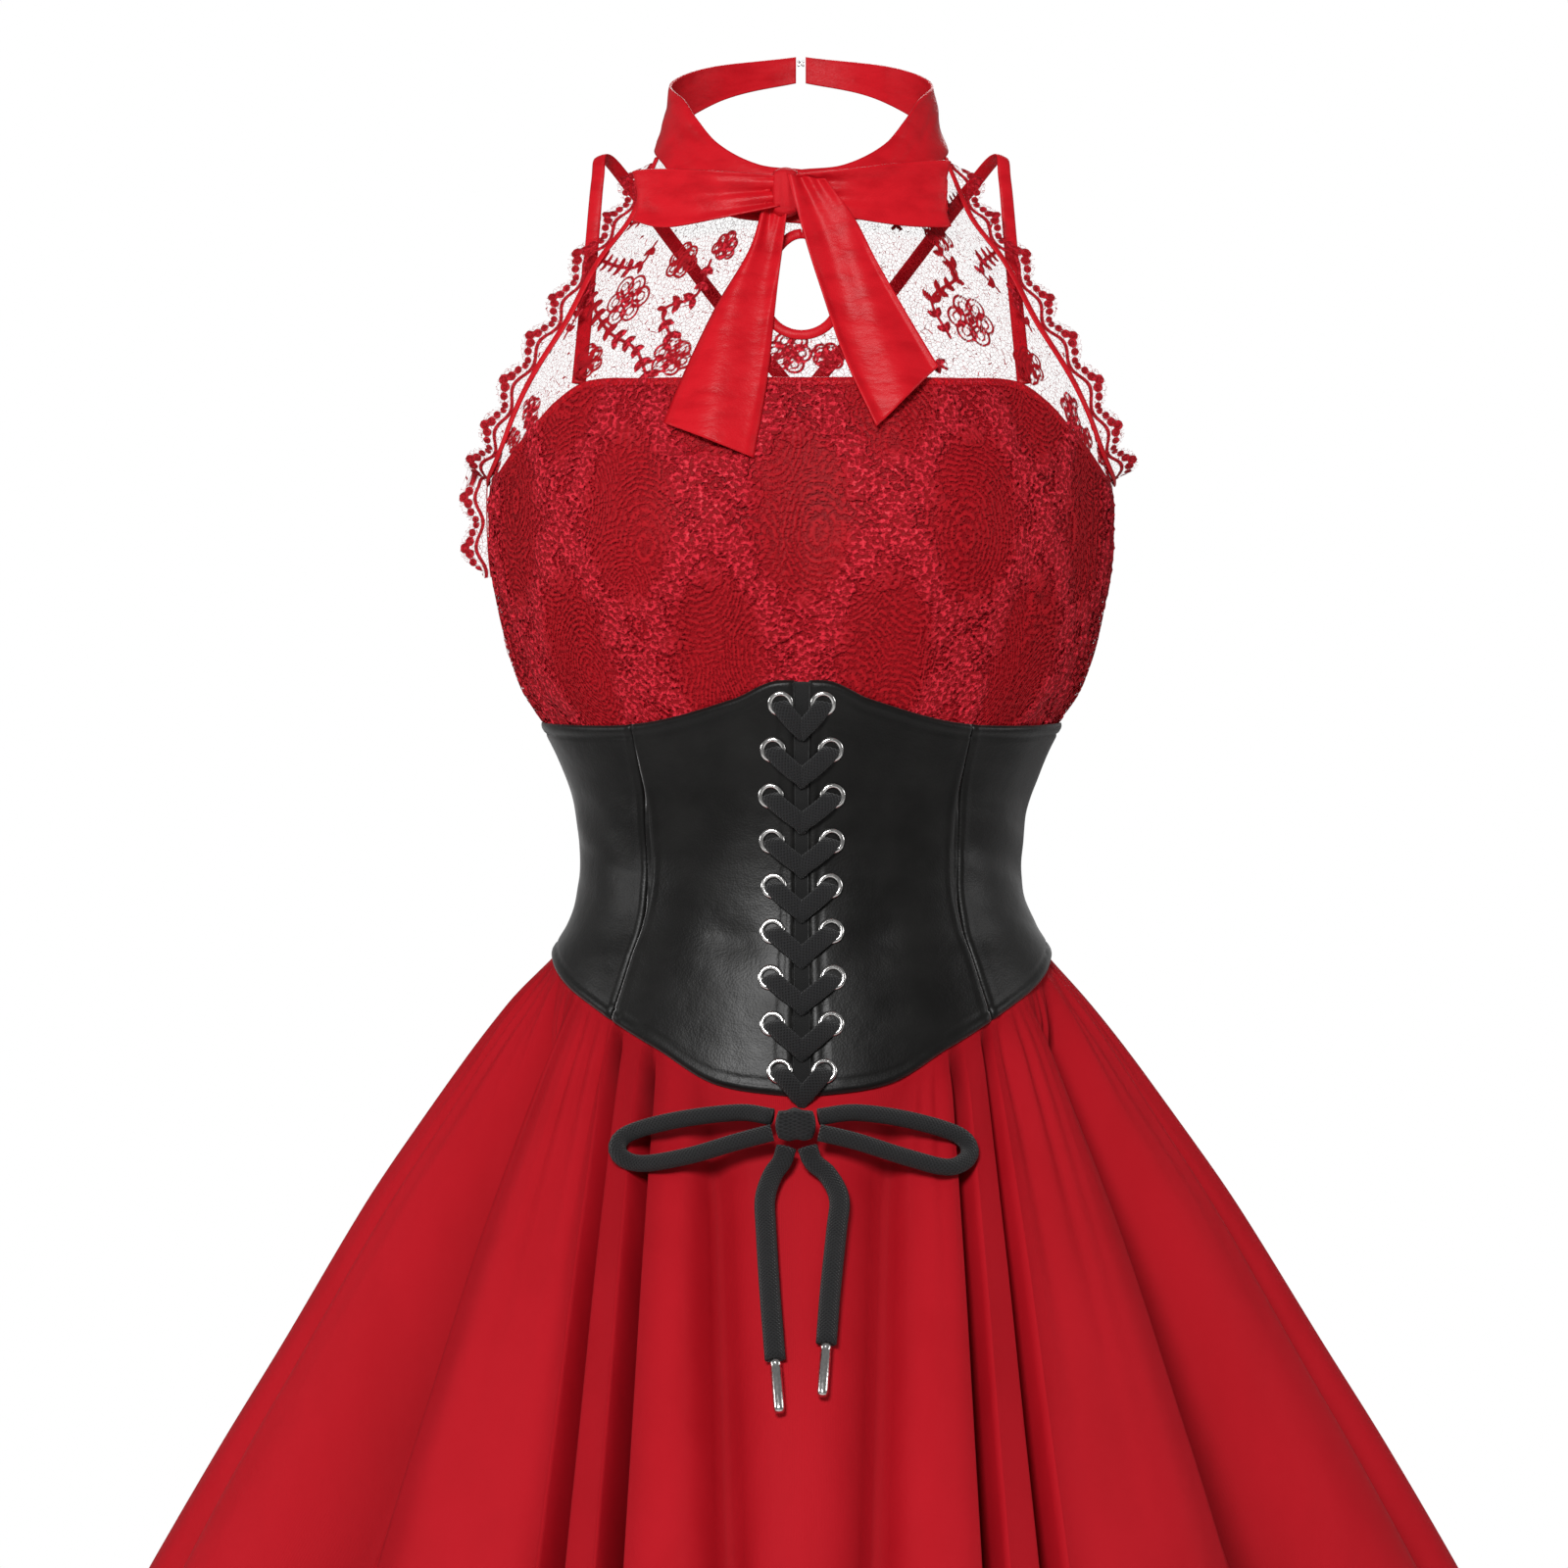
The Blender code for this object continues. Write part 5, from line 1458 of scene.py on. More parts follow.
@dataclass
class NeckBow:
    """Satin bow tied at the front of the collar."""

    room: Workroom
    body: BodyForm
    knot: tuple[float, float, float] = (-0.0090, -0.0834, -0.0465)
    knot_half: tuple[float, float, float] = (0.0085, 0.0072, 0.0150)
    wall: float = 0.0009
    loop_length: float = 0.185
    tail_length: float = 0.145
    loops: dict = field(default_factory=lambda: {
        Side.LEFT: ((-0.0120, -0.0880, -0.0375, -0.0550), (-0.0450, -0.0870, -0.0350, -0.0615),
                    (-0.0750, -0.0765, -0.0325, -0.0655), (-0.0925, -0.0650, -0.0320, -0.0610),
                    (-0.0915, -0.0580, -0.0330, -0.0600), (-0.0700, -0.0660, -0.0345, -0.0610),
                    (-0.0160, -0.0805, -0.0370, -0.0560)),
        Side.RIGHT: ((-0.0060, -0.0880, -0.0375, -0.0550), (0.0280, -0.0885, -0.0340, -0.0610),
                     (0.0580, -0.0800, -0.0295, -0.0645), (0.0815, -0.0680, -0.0270, -0.0640),
                     (0.0800, -0.0610, -0.0285, -0.0620), (0.0540, -0.0710, -0.0320, -0.0610),
                     (-0.0010, -0.0805, -0.0370, -0.0560))})
    tails: dict = field(default_factory=lambda: {
        Side.LEFT: ((-0.0210, -0.0500, -0.0080, -0.0540, 0.0160),
                    (-0.0290, -0.0780, -0.0110, -0.0780, 0.0100),
                    (-0.0480, -0.1110, -0.0145, -0.1110, 0.0095),
                    (-0.0640, -0.1450, -0.0190, -0.1530, 0.0085),
                    (-0.0765, -0.1760, -0.0262, -0.1960, 0.0080)),
        Side.RIGHT: ((-0.0085, -0.0365, 0.0130, -0.0400, 0.0235),
                     (0.0010, -0.0700, 0.0290, -0.0610, 0.0200),
                     (0.0110, -0.1010, 0.0420, -0.0860, 0.0125),
                     (0.0240, -0.1400, 0.0590, -0.1160, 0.0098),
                     (0.0413, -0.1786, 0.0755, -0.1443, 0.0090))})

    def make_loop(self, side: Side) -> None:
        """One loop, gathered at the knot and creased out from it."""
        rows = self.loops[side]

        def place(run: float, up: float) -> Vector:
            x, y, top, bottom = along(rows, run)
            before, after = along(rows, max(0.0, run - 0.02)), along(rows, min(1.0, run + 0.02))
            ahead = Vector((after[0] - before[0], after[1] - before[1], 0)).normalized()
            normal = ahead.cross(Vector((0, 0, 1))) * -side.value
            near = math.exp(-abs(x - self.knot[0]) / 0.034)
            crease = 0.0019 * near * math.sin(2 * math.pi * (2.6 * up + 0.20 * side.value))
            crease += 0.0012 * noise.noise((x * 22, 3.0 * side.value, up * 2.8)) * (1 - near)
            belly = 0.0035 * math.sin(math.pi * up)
            return Vector((x, y, blend(bottom, top, up))) + normal * (belly + crease)

        mesh = self.room.grid(96, 26, (self.loop_length, 0.030), place)
        piece = self.room.dress(f"bow_loop_cloth_{side.word}", mesh, Slot.SATIN,
                                [f"bow_loop_{side.word}"], self.wall)
        self.room.cloth(piece, self.loop_length, "folded", ["collar_front"])

    def make_tail(self, side: Side) -> None:
        """One tail, gathered under the knot and flat at its slanted end."""
        rows = self.tails[side]

        def place(across: float, up: float) -> Vector:
            down = 1 - up
            left_x, left_z, right_x, right_z, lift = along(rows, down)
            x, z = blend(left_x, right_x, across), blend(left_z, right_z, across)
            near = math.exp(-down / 0.16)
            curl = 0.0022 * math.cos(2 * math.pi * across + 3.0 * down * side.value) * (1 - 0.5 * near)
            pleat = 0.0016 * near * math.sin(2 * math.pi * 2.2 * across)
            roll = 0.0030 * smooth(0.82, 1.0, abs(2 * across - 1)) * smooth(0.2, 0.6, down)
            return self.body.chest(x, z, 0) + Vector((0, -lift - curl - pleat - roll * side.value, 0))

        mesh = self.room.grid(30, 90, (0.045, self.tail_length), place)
        piece = self.room.dress(f"bow_tail_cloth_{side.word}", mesh, Slot.SATIN,
                                [f"bow_tail_{side.word}"], self.wall)
        self.room.cloth(piece, self.tail_length, "hung", ["bow_knot"])

    def make_knot(self) -> None:
        """Knot: a pulled-tight wrap with folds down it."""
        mesh = bmesh.new()
        mesh.loops.layers.uv.new("UVMap")
        bmesh.ops.create_uvsphere(mesh, u_segments=48, v_segments=32, radius=1.0, calc_uvs=True)
        for vert in mesh.verts:
            x, y, z = vert.co
            squared = 1.0 / max(abs(x), abs(y), abs(z)) ** 0.45
            pinch = 1 - 0.13 * math.cos(math.pi * z) * (1 - abs(x))
            fold = 1 + 0.05 * math.sin(9 * x + 1.2 * z) * (1 - z * z)
            half = self.knot_half
            vert.co = Vector((x * half[0] * pinch, y * half[1] * fold, z * half[2])) * squared * 0.93
        bmesh.ops.translate(mesh, verts=mesh.verts, vec=self.knot)
        self.room.dress("bow_knot_cloth", mesh, Slot.SATIN, ["bow_knot"])

    def make(self) -> None:
        """Makes the bow."""
        for side in Side:
            self.make_loop(side)
            self.make_tail(side)
        self.make_knot()


@dataclass
class Straps:
    """Shoulder straps of the inner bodice, which cross behind the neck."""

    room: Workroom
    width: float = 0.0080
    crossing: float = 0.0018
    route: tuple = (
        (0.1245, -0.0655, -0.1512, 0.0, -1.0, 0.0), (0.1220, -0.0390, -0.1130, 0.0, -1.0, 0.2),
        (0.1190, -0.0190, -0.0700, 0.2, -1.0, 0.4), (0.1160, -0.0090, -0.0310, 0.3, -0.7, 0.9),
        (0.1130, 0.0020, -0.0165, 0.2, 0.3, 1.0), (0.0950, 0.0280, -0.0350, 0.2, 0.8, 0.8),
        (0.0480, 0.0780, -0.0930, 0.1, 1.0, 0.3), (0.0000, 0.0930, -0.1500, 0.0, 1.0, 0.1),
        (-0.0350, 0.0990, -0.2050, 0.0, 1.0, 0.0), (-0.0400, 0.1000, -0.2160, 0.0, 1.0, 0.0))

    def make(self) -> None:
        """Makes both straps."""
        for side in Side:
            route, facings = [], []
            for k in range(121):
                x, y, z, fx, fy, fz = along(self.route, k / 120)
                above = self.crossing * smooth(0.10, 0.02, abs(x)) if side is Side.LEFT and y > 0.06 else 0
                route.append(Vector((side.value * x, y + above + 0.0006, z)))
                facings.append(Vector((side.value * fx, fy, fz)))
            mesh = self.room.tube(route, lambda k: facings[k], (self.width / 2, 0.0009), 12)
            self.room.dress(f"shoulder_strap_{side.word}", mesh, Slot.SATIN, [f"strap_{side.word}"])


@dataclass
class Corset:
    """Leather corset belt with princess seams, the cloth behind its lacing and the eyelets."""

    room: Workroom
    body: BodyForm
    out: float = 0.0053
    wall: float = 0.0017
    front_edge: float = 1.5
    princess: tuple = ((-0.560, 42), (-0.530, 43), (-0.478, 42), (-0.418, 44), (-0.380, 43),
                       (-0.330, 39.5))
    side_back: float = 112.5
    mean_radius: float = 0.125
    rows: int = 9
    eyelet_x: tuple = (0.0115, 0.0155, 0.0165, 0.0160, 0.0150, 0.0158, 0.0168, 0.0158, 0.0120)

    def __post_init__(self) -> None:
        """Turns the seam into a curve."""
        self.seam = Table(self.princess)

    def eyelet(self, row: int) -> tuple[float, float]:
        """Distance from the centre front and height of the eyelets of a row, from the top."""
        x = self.eyelet_x[row]
        degrees = self.body.degrees_at(x, -0.317)
        share = (row + 0.5) / self.rows
        return x, blend(self.body.edge("corset_top", degrees),
                        self.body.edge("corset_bottom", degrees), share)

    def relief(self, degrees: float, z: float, seam_gap: float, rim: float) -> float:
        """How far the leather stands from its even layer at a spot.

        Args:
            degrees: Angle of the spot.
            z: Its height.
            seam_gap: Its distance from the nearest seam in metres.
            rim: Its distance from the nearest turned edge in metres.

        Returns:
            The height in metres, below 0 where it sinks in.
        """
        seam = 0.0006 * bell(seam_gap - 0.0045, 0.0016) - 0.0015 * bell(seam_gap, 0.0014)
        turned = -0.0015 * bell(rim, 0.0011) - 0.0005 * bell(rim - 0.0062, 0.0009)
        stitch = -0.0003 * bell(rim - 0.0062, 0.0007) * (0.5 + 0.5 * math.sin(z * 2100 + degrees * 7))
        waist = bell(z + 0.425, 0.050) * smooth(26, 62, abs(degrees))
        crush = 0.0022 * waist * noise.noise((degrees * 0.028, 2.0, z * 52 + degrees * 0.02))
        slack = 0.0012 * noise.noise((degrees * 0.045, 0.5, z * 15))
        hollow = -0.0016 * bell(abs(degrees) - 17, 7.0) * bell(z + 0.474 - 0.0006 * abs(degrees), 0.012)
        return seam + turned + stitch + crush + slack + hollow

    def panel(self, name: str, node: str, edges: tuple[Callable, Callable], columns: int) -> None:
        """Makes one panel between two seams.

        Args:
            name: The piece's name.
            node: The solid it stands for.
            edges: Angle of its first and last edge by the share up.
            columns: Squares across.
        """
        body = self.body

        def place(u: float, v: float) -> Vector:
            first, last = edges[0](v), edges[1](v)
            degrees = blend(first, last, u)
            around = degrees if degrees <= 180 else degrees - 360
            low, high = body.edge("corset_bottom", around), body.edge("corset_top", around)
            z = blend(low, high, v)
            metre = math.radians(1) * self.mean_radius
            seam_gap = min(abs(degrees - first), abs(last - degrees)) * metre
            rim = min(z - low, high - z)
            if min(abs(first), abs(last)) < 2 * self.front_edge:
                near = min((abs(degrees) - self.front_edge) * metre, rim)
                seam_gap, rim = (43 - abs(degrees)) * metre, near
            return body.surface(degrees, z, self.out + self.relief(around, z, seam_gap, rim))

        mesh = self.room.grid(columns, 110, (columns * 0.0019, 0.20), place)
        self.room.dress(name, mesh, Slot.LEATHER, [node], self.wall)

    def make_panels(self) -> None:
        """Makes the two fronts, the two sides, the back and the cloth behind the lacing."""
        body, gap = self.body, 0.08

        def seam(v: float) -> float:
            z = blend(body.edge("corset_bottom", 42), body.edge("corset_top", 42), v)
            return self.seam.at(z)

        for side in Side:
            front = (lambda v: self.front_edge, lambda v: seam(v) - gap)
            flank = (lambda v: seam(v) + gap, lambda v: self.side_back - gap)
            if side is Side.LEFT:
                front = (lambda v: gap - seam(v), lambda v: -self.front_edge)
                flank = (lambda v: gap - self.side_back, lambda v: -seam(v) - gap)
            self.panel(f"corset_front_leather_{side.word}", f"corset_front_{side.word}", front, 56)
            self.panel(f"corset_side_leather_{side.word}", f"corset_side_{side.word}", flank, 80)
        back = (lambda v: self.side_back + gap, lambda v: 360 - self.side_back - gap)
        self.panel("corset_back_leather", "corset_back", back, 120)

        def backing(u: float, v: float) -> Vector:
            degrees = blend(-15, 15, u)
            z = blend(body.edge("corset_bottom", degrees) + 0.0043,
                      body.edge("corset_top", degrees) - 0.0012, v)
            return body.surface(degrees, z, 0.0036)

        mesh = self.room.grid(24, 60, (0.064, 0.225), backing)
        self.room.dress("lacing_backing", mesh, Slot.CLOTH, ["placket"], 0.0009)

    def make_eyelets(self) -> None:
        """Rolled metal eyelets with their barrels."""
        profile = [(0.0040, -0.0014), (0.0044, -0.0014), (0.0046, 0.0002), (0.0070, 0.0003),
                   (0.0073, 0.0007), (0.0070, 0.0013), (0.0062, 0.0018), (0.0053, 0.0018),
                   (0.0046, 0.0012), (0.0042, 0.0004)]
        for side in Side:
            for row in range(self.rows):
                x, z = self.eyelet(row)
                mesh = self.room.turned(profile, 32)
                foot = self.body.chest(side.value * x, z, self.out)
                tip = self.body.chest(side.value * x, z, self.out + 0.01)
                turn = (tip - foot).to_track_quat("Z", "Y").to_matrix()
                bmesh.ops.rotate(mesh, verts=mesh.verts, cent=(0, 0, 0), matrix=turn)
                bmesh.ops.translate(mesh, verts=mesh.verts, vec=foot)
                name = f"eyelet_ring_{side.word}_{row + 1}"
                self.room.dress(name, mesh, Slot.SILVER, [f"eyelet_{side.word}_{row + 1}"])

    def make(self) -> None:
        """Makes the corset."""
        self.make_panels()
        self.make_eyelets()


@dataclass
class Lacing:
    """Flat braid laced through the eyelets and tied in a bow below the corset."""

    room: Workroom
    body: BodyForm
    skirt: SkirtForm
    corset: Corset
    half: tuple[float, float] = (0.0052, 0.0013)
    knot: tuple[float, float, float] = (-0.0035, -0.5600, 0.0190)
    knot_half: tuple[float, float, float] = (0.0120, 0.0080, 0.0095)
    diameter: float = 0.0100
    loops: dict = field(default_factory=lambda: {
        Side.LEFT: ((-0.0162, -0.5560, 0.0190), (-0.0350, -0.5540, 0.017), (-0.0700, -0.5585, 0.012),
                    (-0.0960, -0.5665, 0.008), (-0.1000, -0.5760, 0.007), (-0.0880, -0.5815, 0.007),
                    (-0.0620, -0.5770, 0.010), (-0.0350, -0.5690, 0.017), (-0.0162, -0.5641, 0.0190)),
        Side.RIGHT: ((0.0092, -0.5560, 0.0190), (0.0300, -0.5540, 0.017), (0.0600, -0.5585, 0.012),
                     (0.0860, -0.5670, 0.008), (0.0910, -0.5770, 0.007), (0.0800, -0.5830, 0.007),
                     (0.0580, -0.5780, 0.010), (0.0300, -0.5690, 0.017), (0.0092, -0.5641, 0.0190))})
    tails: dict = field(default_factory=lambda: {
        Side.LEFT: ((-0.0085, -0.5724, 0.0107), (-0.0110, -0.5800, 0.0080), (-0.0160, -0.5870, 0.0060),
                    (-0.0200, -0.5990, 0.0056), (-0.0195, -0.6150, 0.0056), (-0.0175, -0.6450, 0.0056),
                    (-0.0145, -0.6800, 0.0056)),
        Side.RIGHT: ((0.0030, -0.5724, 0.0107), (0.0060, -0.5800, 0.0080), (0.0140, -0.5870, 0.0060),
                     (0.0200, -0.5990, 0.0056), (0.0185, -0.6150, 0.0056), (0.0150, -0.6450, 0.0056),
                     (0.0126, -0.6720, 0.0056))})
    aglet_length: float = 0.031
    aglet_radius: float = 0.0031

    def make_strokes(self) -> None:
        """Strokes of the lace: out of each eyelet, over its rim and down to the middle."""
        strokes = []
        for row in range(self.corset.rows):
            x, z = self.corset.eyelet(row)
            for side in Side:
                over = 0.0004 if side is Side.RIGHT else 0.0
                points = [(x * side.value, z + 0.0008, 0.0052), (x * 0.93 * side.value, z - 0.0016, 0.0074),
                          (x * 0.66 * side.value, z - 0.0058, 0.0086 + over),
                          (x * 0.30 * side.value, z - 0.0108, 0.0082 + over),
                          (-x * 0.02 * side.value, z - 0.0148, 0.0068 + over),
                          (-x * 0.22 * side.value, z - 0.0176, 0.0042 + over)]
                route = even_route([self.body.chest(*point) for point in points], 0.0011)
                outs = [Vector((p.x * 0.5, p.y - 0.3, 0)).normalized() for p in route]
                strokes.append(self.room.tube(route, lambda k: outs[k], self.half, 14))
        self.room.dress("lacing_braid", self.room.join(strokes), Slot.BRAID, ["lacing"])

    def routes(self, table: dict, side: Side, spacing: float) -> list[Vector]:
        """Evenly spaced route of one cord of the bow.

        Args:
            table: Points of the cords by side.
            side: Which cord.
            spacing: Distance between points.

        Returns:
            The route.
        """
        return even_route([self.skirt.ahead(*point) for point in table[side]], spacing)

    def make_bow(self) -> None:
        """Knot, loops, tails and metal tips of the bow."""
        for side in Side:
            route = self.routes(self.loops, side, 0.0030)
            mesh = self.room.tube(route, lambda k: Vector((0, -0.75, 0.66)),
                                  (self.diameter / 2, 0.0042), 16)
            piece = self.room.dress(f"lace_loop_{side.word}", mesh, Slot.BRAID,
                                    [f"lacing_loop_{side.word}"])
            length = route_length(route)
            LOG.info("loop %s is %.0f mm long", side.word, 1000 * length)
            self.make_tail(side)
        mesh = bmesh.new()
        layer = mesh.loops.layers.uv.new("UVMap")
        bmesh.ops.create_uvsphere(mesh, u_segments=40, v_segments=28, radius=1.0, calc_uvs=True)
        for vert in mesh.verts:
            x, y, z = vert.co
            squared = 1.0 / max(abs(x), abs(y), abs(z)) ** 0.5
            ridge = 1 + 0.07 * math.sin(7 * x + 2 * z) * (1 - x * x)
            half = self.knot_half
            vert.co = Vector((x * half[0], y * half[1] * ridge, z * half[2] * ridge)) * squared * 0.92
        for face in mesh.faces:
            for loop in face.loops:
                loop[layer].uv *= 0.03
        place = self.skirt.ahead(*self.knot)
        facing = place - self.skirt.ahead(self.knot[0], self.knot[1], 0.0)
        turn = Vector((0, facing.y, facing.z)).to_track_quat("-Y", "Z").to_matrix()
        bmesh.ops.rotate(mesh, verts=mesh.verts, cent=(0, 0, 0), matrix=turn)
        bmesh.ops.translate(mesh, verts=mesh.verts, vec=place)
        self.room.dress("lace_knot", mesh, Slot.BRAID, ["lacing_knot"])

    def make_tail(self, side: Side) -> None:
        """One hanging end of the lace with its metal tip."""
        route = self.routes(self.tails, side, 0.0030)
        coarse = self.routes(self.tails, side, 0.0150)
        mesh = self.room.tube(route, lambda k: Vector((0, -0.8, 0.6)), (0.0056, 0.0036), 16)
        piece = self.room.dress(f"lace_tail_{side.word}", mesh, Slot.BRAID, [f"lacing_tail_{side.word}"])
        ahead = (coarse[-1] - coarse[-2]).normalized()
        r, length = self.aglet_radius, self.aglet_length
        profile = [(0.0, -length / 2), (r, -length / 2), (r, -length / 2 + 0.0030),
                   (r * 0.88, -length / 2 + 0.0040), (r, -length / 2 + 0.0050), (r * 0.97, length * 0.40),
                   (r * 0.86, length / 2 - 0.0012), (r * 0.60, length / 2 - 0.0002), (0.0, length / 2)]
        tip = self.room.turned(profile, 28)
        place = coarse[-1] + ahead * (0.0003 + length / 2)
        turn = ahead.to_track_quat("Z", "Y").to_matrix()
        bmesh.ops.rotate(tip, verts=tip.verts, cent=(0, 0, 0), matrix=turn)
        bmesh.ops.translate(tip, verts=tip.verts, vec=place)
        metal = self.room.dress(f"metal_tip_{side.word}", tip, Slot.SILVER, [f"aglet_{side.word}"])
        run = route_length(route)

    def make(self) -> None:
        """Makes the lacing and its bow."""
        self.make_strokes()
        self.make_bow()


@dataclass
class Skirt:
    """Flared skirt in a front and a back, with gathers under the corset."""

    room: Workroom
    form: SkirtForm
    wall: float = 0.0010
    rows: int = 110
    length: float = 0.66

    def ripple(self, hem: float, share: float) -> float:
        """Fine gathers under the corset, which fade down the skirt.

        Args:
            hem: Angle at the hem.
            share: 0 at the corset and 1 at the hem.

        Returns:
            The distance out in metres.
        """
        fade = math.exp(-max(0.0, share) / 0.20) * smooth(-0.01, 0.05, share)
        gather = 0.0075 * fade * noise.noise((hem * 0.42, 0.7, share * 1.2))
        sway = 0.0050 * smooth(0.05, 0.5, share) * noise.noise((hem * 0.055, 5.2, share * 1.3))
        return gather + sway

    def columns(self, first: float, last: float, count: int) -> list[float]:
        """Angles of a panel's columns, which stand closer at the folds.

        Args:
            first: First angle.
            last: Last angle.
            count: Squares across.

        Returns:
            One angle more than there are squares.
        """
        fine, total = [], 0.0
        for k in range(2001):
            angle = blend(first, last, k / 2000)
            size = min(abs(angle), abs(360 - angle))
            folds = self.form.front_folds + self.form.back_folds
            total += 1 + sum(5 * bell(size - fold[1], 2.2) for fold in folds
                             if fold[2] > self.form.slot_depth)
            fine.append((total, angle))
        shares = Table([(amount - fine[0][0], angle) for amount, angle in fine])
        reach = shares.keys[-1]
        return [round(shares.at(reach * k / count), 4) for k in range(count + 1)]

    def painted_fold_shade(self, hem: float, share: float) -> float:
        """How far a spot lies down in a fold, which sets how much painted shade darkens the skirt there.

        Args:
            hem: Angle at the hem.
            share: 0 at the corset and 1 at the hem.

        Returns:
            0 on the outside and 1 at a fold's foot.
        """
        deepest = 0.0
        for _, foot, depth, inner, outer in self.form.front_folds + self.form.back_folds:
            offset = abs(hem) - foot
            if depth > self.form.turned_depth:
                past = smooth(-0.4, 0.5, offset) * math.exp(-max(0.0, offset) / 5.5)
                deepest = max(deepest, 0.80 * past)
            elif depth > self.form.slot_depth:
                width = self.form.slot_share * (outer if offset > 0 else inner)
                deepest = max(deepest, 1 - abs(offset / width) ** 1.5)
            else:
                deepest = max(deepest, 0.34 * bell(offset, 2.2))
        return deepest * smooth(-0.02, 0.10, share)

    def make(self) -> None:
        """Makes both panels."""
        panels = (("skirt_cloth_front", "skirt_front", -90.0, 90.0, 440),
                  ("skirt_cloth_back", "skirt_back", 90.0, 270.0, 420))
        for name, node, first, last, columns in panels:
            hems = self.columns(first, last, columns)

            def place(u: float, v: float) -> Vector:
                hem = hems[round(u * columns)]
                angle = hem if hem <= 180 else hem - 360
                share = 1 - v * 1.03
                share = share ** 1.15 if share > 0 else share
                point = self.form.point(angle, share, True)
                if share <= 0:
                    return point
                outward = Vector((point.x, point.y, 0)).normalized()
                return point + outward * self.ripple(angle, share)

            mesh = self.room.grid(columns, self.rows, (1.30, self.length), place)
            # Painted shade: how deep each point lies in a fold, which darkens the cloth's colour there.
            fold = mesh.verts.layers.float.new("fold")
            mesh.verts.index_update()
            for vert in mesh.verts:
                row, column = divmod(vert.index, columns + 1)
                angle = hems[column] if hems[column] <= 180 else hems[column] - 360
                vert[fold] = self.painted_fold_shade(angle, 1 - row / self.rows)
            piece = self.room.dress(name, mesh, Slot.SKIRT, [node], self.wall)
            self.room.cloth(piece, self.length, "gathered", ["corset_front_left", "corset_front_right"])


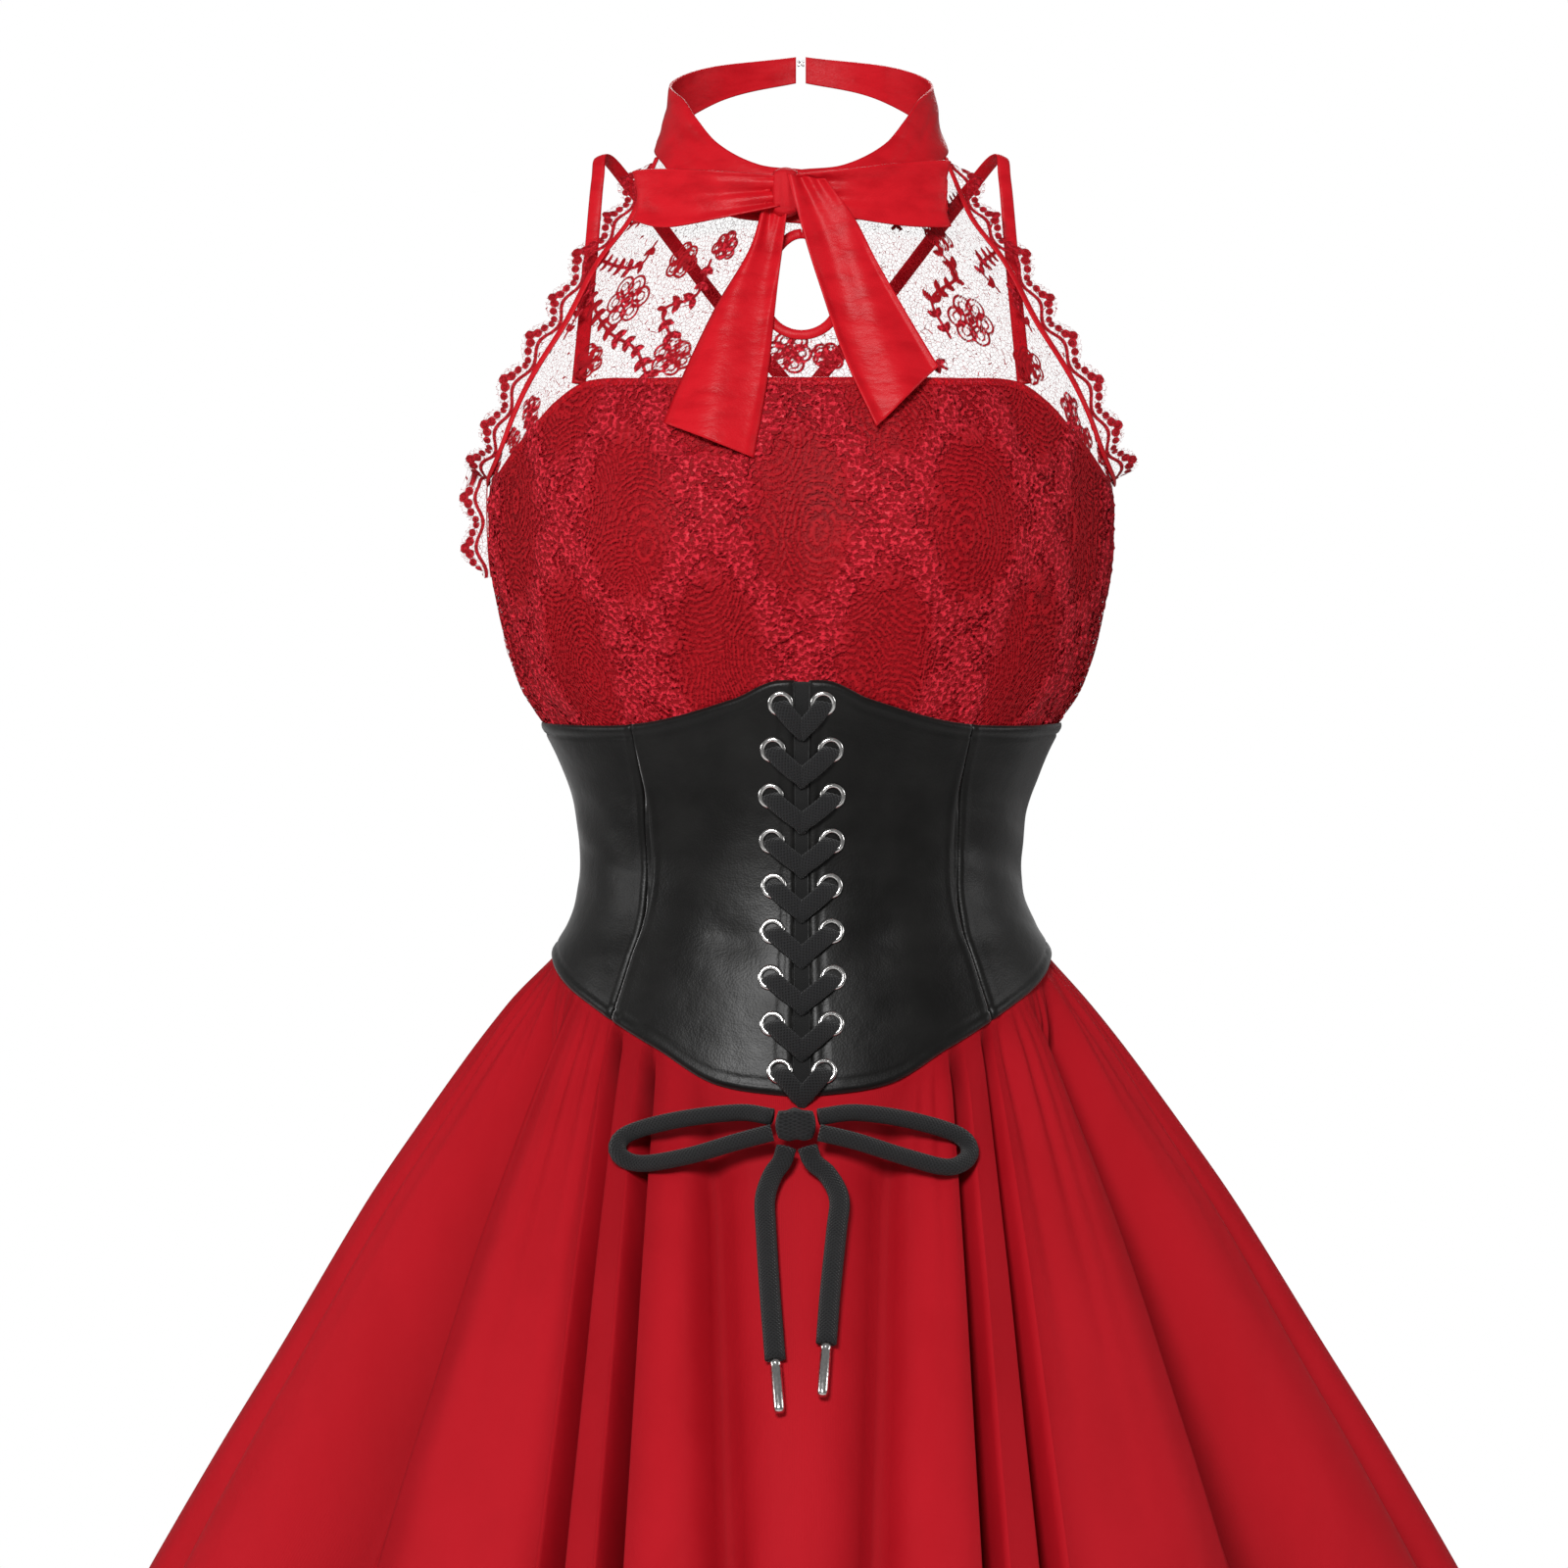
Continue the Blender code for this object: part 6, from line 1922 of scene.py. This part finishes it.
@dataclass
class Studio:
    """Camera, pale floor and soft light."""

    camera_x: float = -0.0098
    camera_z: float = -0.3752
    distance: float = 3.0
    view_width: float = 0.896
    floor_z: float = -1.30
    floor_half: float = 1.9
    fill_strength: float = 0.20
    lights: tuple = (("key_light", (-0.55, -2.85, 0.80), (0, 0, -0.50), 0.8, 76.0),
                     ("side_light", (2.3, -0.3, 0.1), (0, 0, -0.5), 0.8, 8.0),
                     ("left_light", (-2.3, -0.3, 0.0), (0, 0, -0.5), 0.8, 9.0),
                     ("rear_light", (0.3, 2.6, 1.2), (0, 0, -0.4), 1.4, 26.0))

    def make_camera(self) -> None:
        """Level camera in front of the dress, at the photograph's angle."""
        data = bpy.data.cameras.new("front_camera")
        data.sensor_width, data.sensor_fit = 36.0, "HORIZONTAL"
        data.lens = 36.0 * self.distance / self.view_width
        data.clip_end = 60.0
        camera = bpy.data.objects.new("front_camera", data)
        camera.location = (self.camera_x, -self.distance, self.camera_z)
        camera.rotation_euler = (math.pi / 2, 0, 0)
        bpy.context.scene.collection.objects.link(camera)
        bpy.context.scene.camera = camera

    def make_light(self, name: str, place: Sequence[float], aim: Sequence[float], size: float,
                   power: float) -> None:
        """Adds a soft square light.

        Args:
            name: Its name.
            place: Where it is.
            aim: The point it shines at.
            size: Its width in metres.
            power: Its power in watts.
        """
        data = bpy.data.lights.new(name, "AREA")
        data.shape, data.size, data.energy = "SQUARE", size, power
        light = bpy.data.objects.new(name, data)
        light.location = place
        light.rotation_euler = (Vector(aim) - Vector(place)).to_track_quat("-Z", "Y").to_euler()
        bpy.context.scene.collection.objects.link(light)

    def make_world(self) -> None:
        """White surroundings, dimmer as light than they look to the camera."""
        world = bpy.data.worlds.new("white_surroundings")
        world.use_nodes = True
        tree = world.node_tree
        backdrop = tree.nodes["Background"]
        backdrop.inputs["Color"].default_value = (1.0, 1.0, 1.0, 1.0)
        backdrop.inputs["Strength"].default_value = 1.0
        fill = tree.nodes.new("ShaderNodeBackground")
        fill.inputs["Color"].default_value = (1.0, 1.0, 1.0, 1.0)
        fill.inputs["Strength"].default_value = self.fill_strength
        path = tree.nodes.new("ShaderNodeLightPath")
        mixed = tree.nodes.new("ShaderNodeMixShader")
        tree.links.new(path.outputs["Is Camera Ray"], mixed.inputs[0])
        tree.links.new(fill.outputs[0], mixed.inputs[1])
        tree.links.new(backdrop.outputs[0], mixed.inputs[2])
        tree.links.new(mixed.outputs[0], tree.nodes["World Output"].inputs["Surface"])
        bpy.context.scene.world = world
        bpy.context.scene.view_settings.view_transform = "Standard"

    def make_floor(self) -> None:
        """Pale floor below the hem."""
        mesh = bmesh.new()
        bmesh.ops.create_grid(mesh, x_segments=1, y_segments=1, size=self.floor_half)
        bmesh.ops.translate(mesh, verts=mesh.verts, vec=(0, 0, self.floor_z))
        data = bpy.data.meshes.new("studio_floor")
        mesh.to_mesh(data)
        mesh.free()
        shader = Shader("pale_floor", Roughness=0.7)
        grain = shader.noise(shader.place(), 6.0)
        shader.feed("Base Color", shader.tint(grain, (0.82, 0.82, 0.82), (0.86, 0.86, 0.86)))
        data.materials.append(shader.material)
        floor = bpy.data.objects.new("studio_floor", data)
        bpy.context.scene.collection.objects.link(floor)

    def make(self) -> None:
        """Makes the studio."""
        self.make_camera()
        self.make_world()
        self.make_floor()
        for light in self.lights:
            self.make_light(*light)


def main() -> None:
    """Builds the looks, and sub-assembly by sub-assembly."""
    logging.basicConfig(level=logging.INFO, format="%(message)s")
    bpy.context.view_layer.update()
    Studio().make()
    room = Workroom()
    body = BodyForm()
    skirt = SkirtForm(body)
    corset = Corset(room, body)
    for part in (Lacing(room, body, skirt, corset), Skirt(room, skirt), corset,
                 LaceBodice(room, body), Edging(room, body), Straps(room), Collar(room, body),
                 NeckBow(room, body)):
        part.make()
    LOG.info("%d pieces made", room.made)


if __name__ == "__main__":
    main()
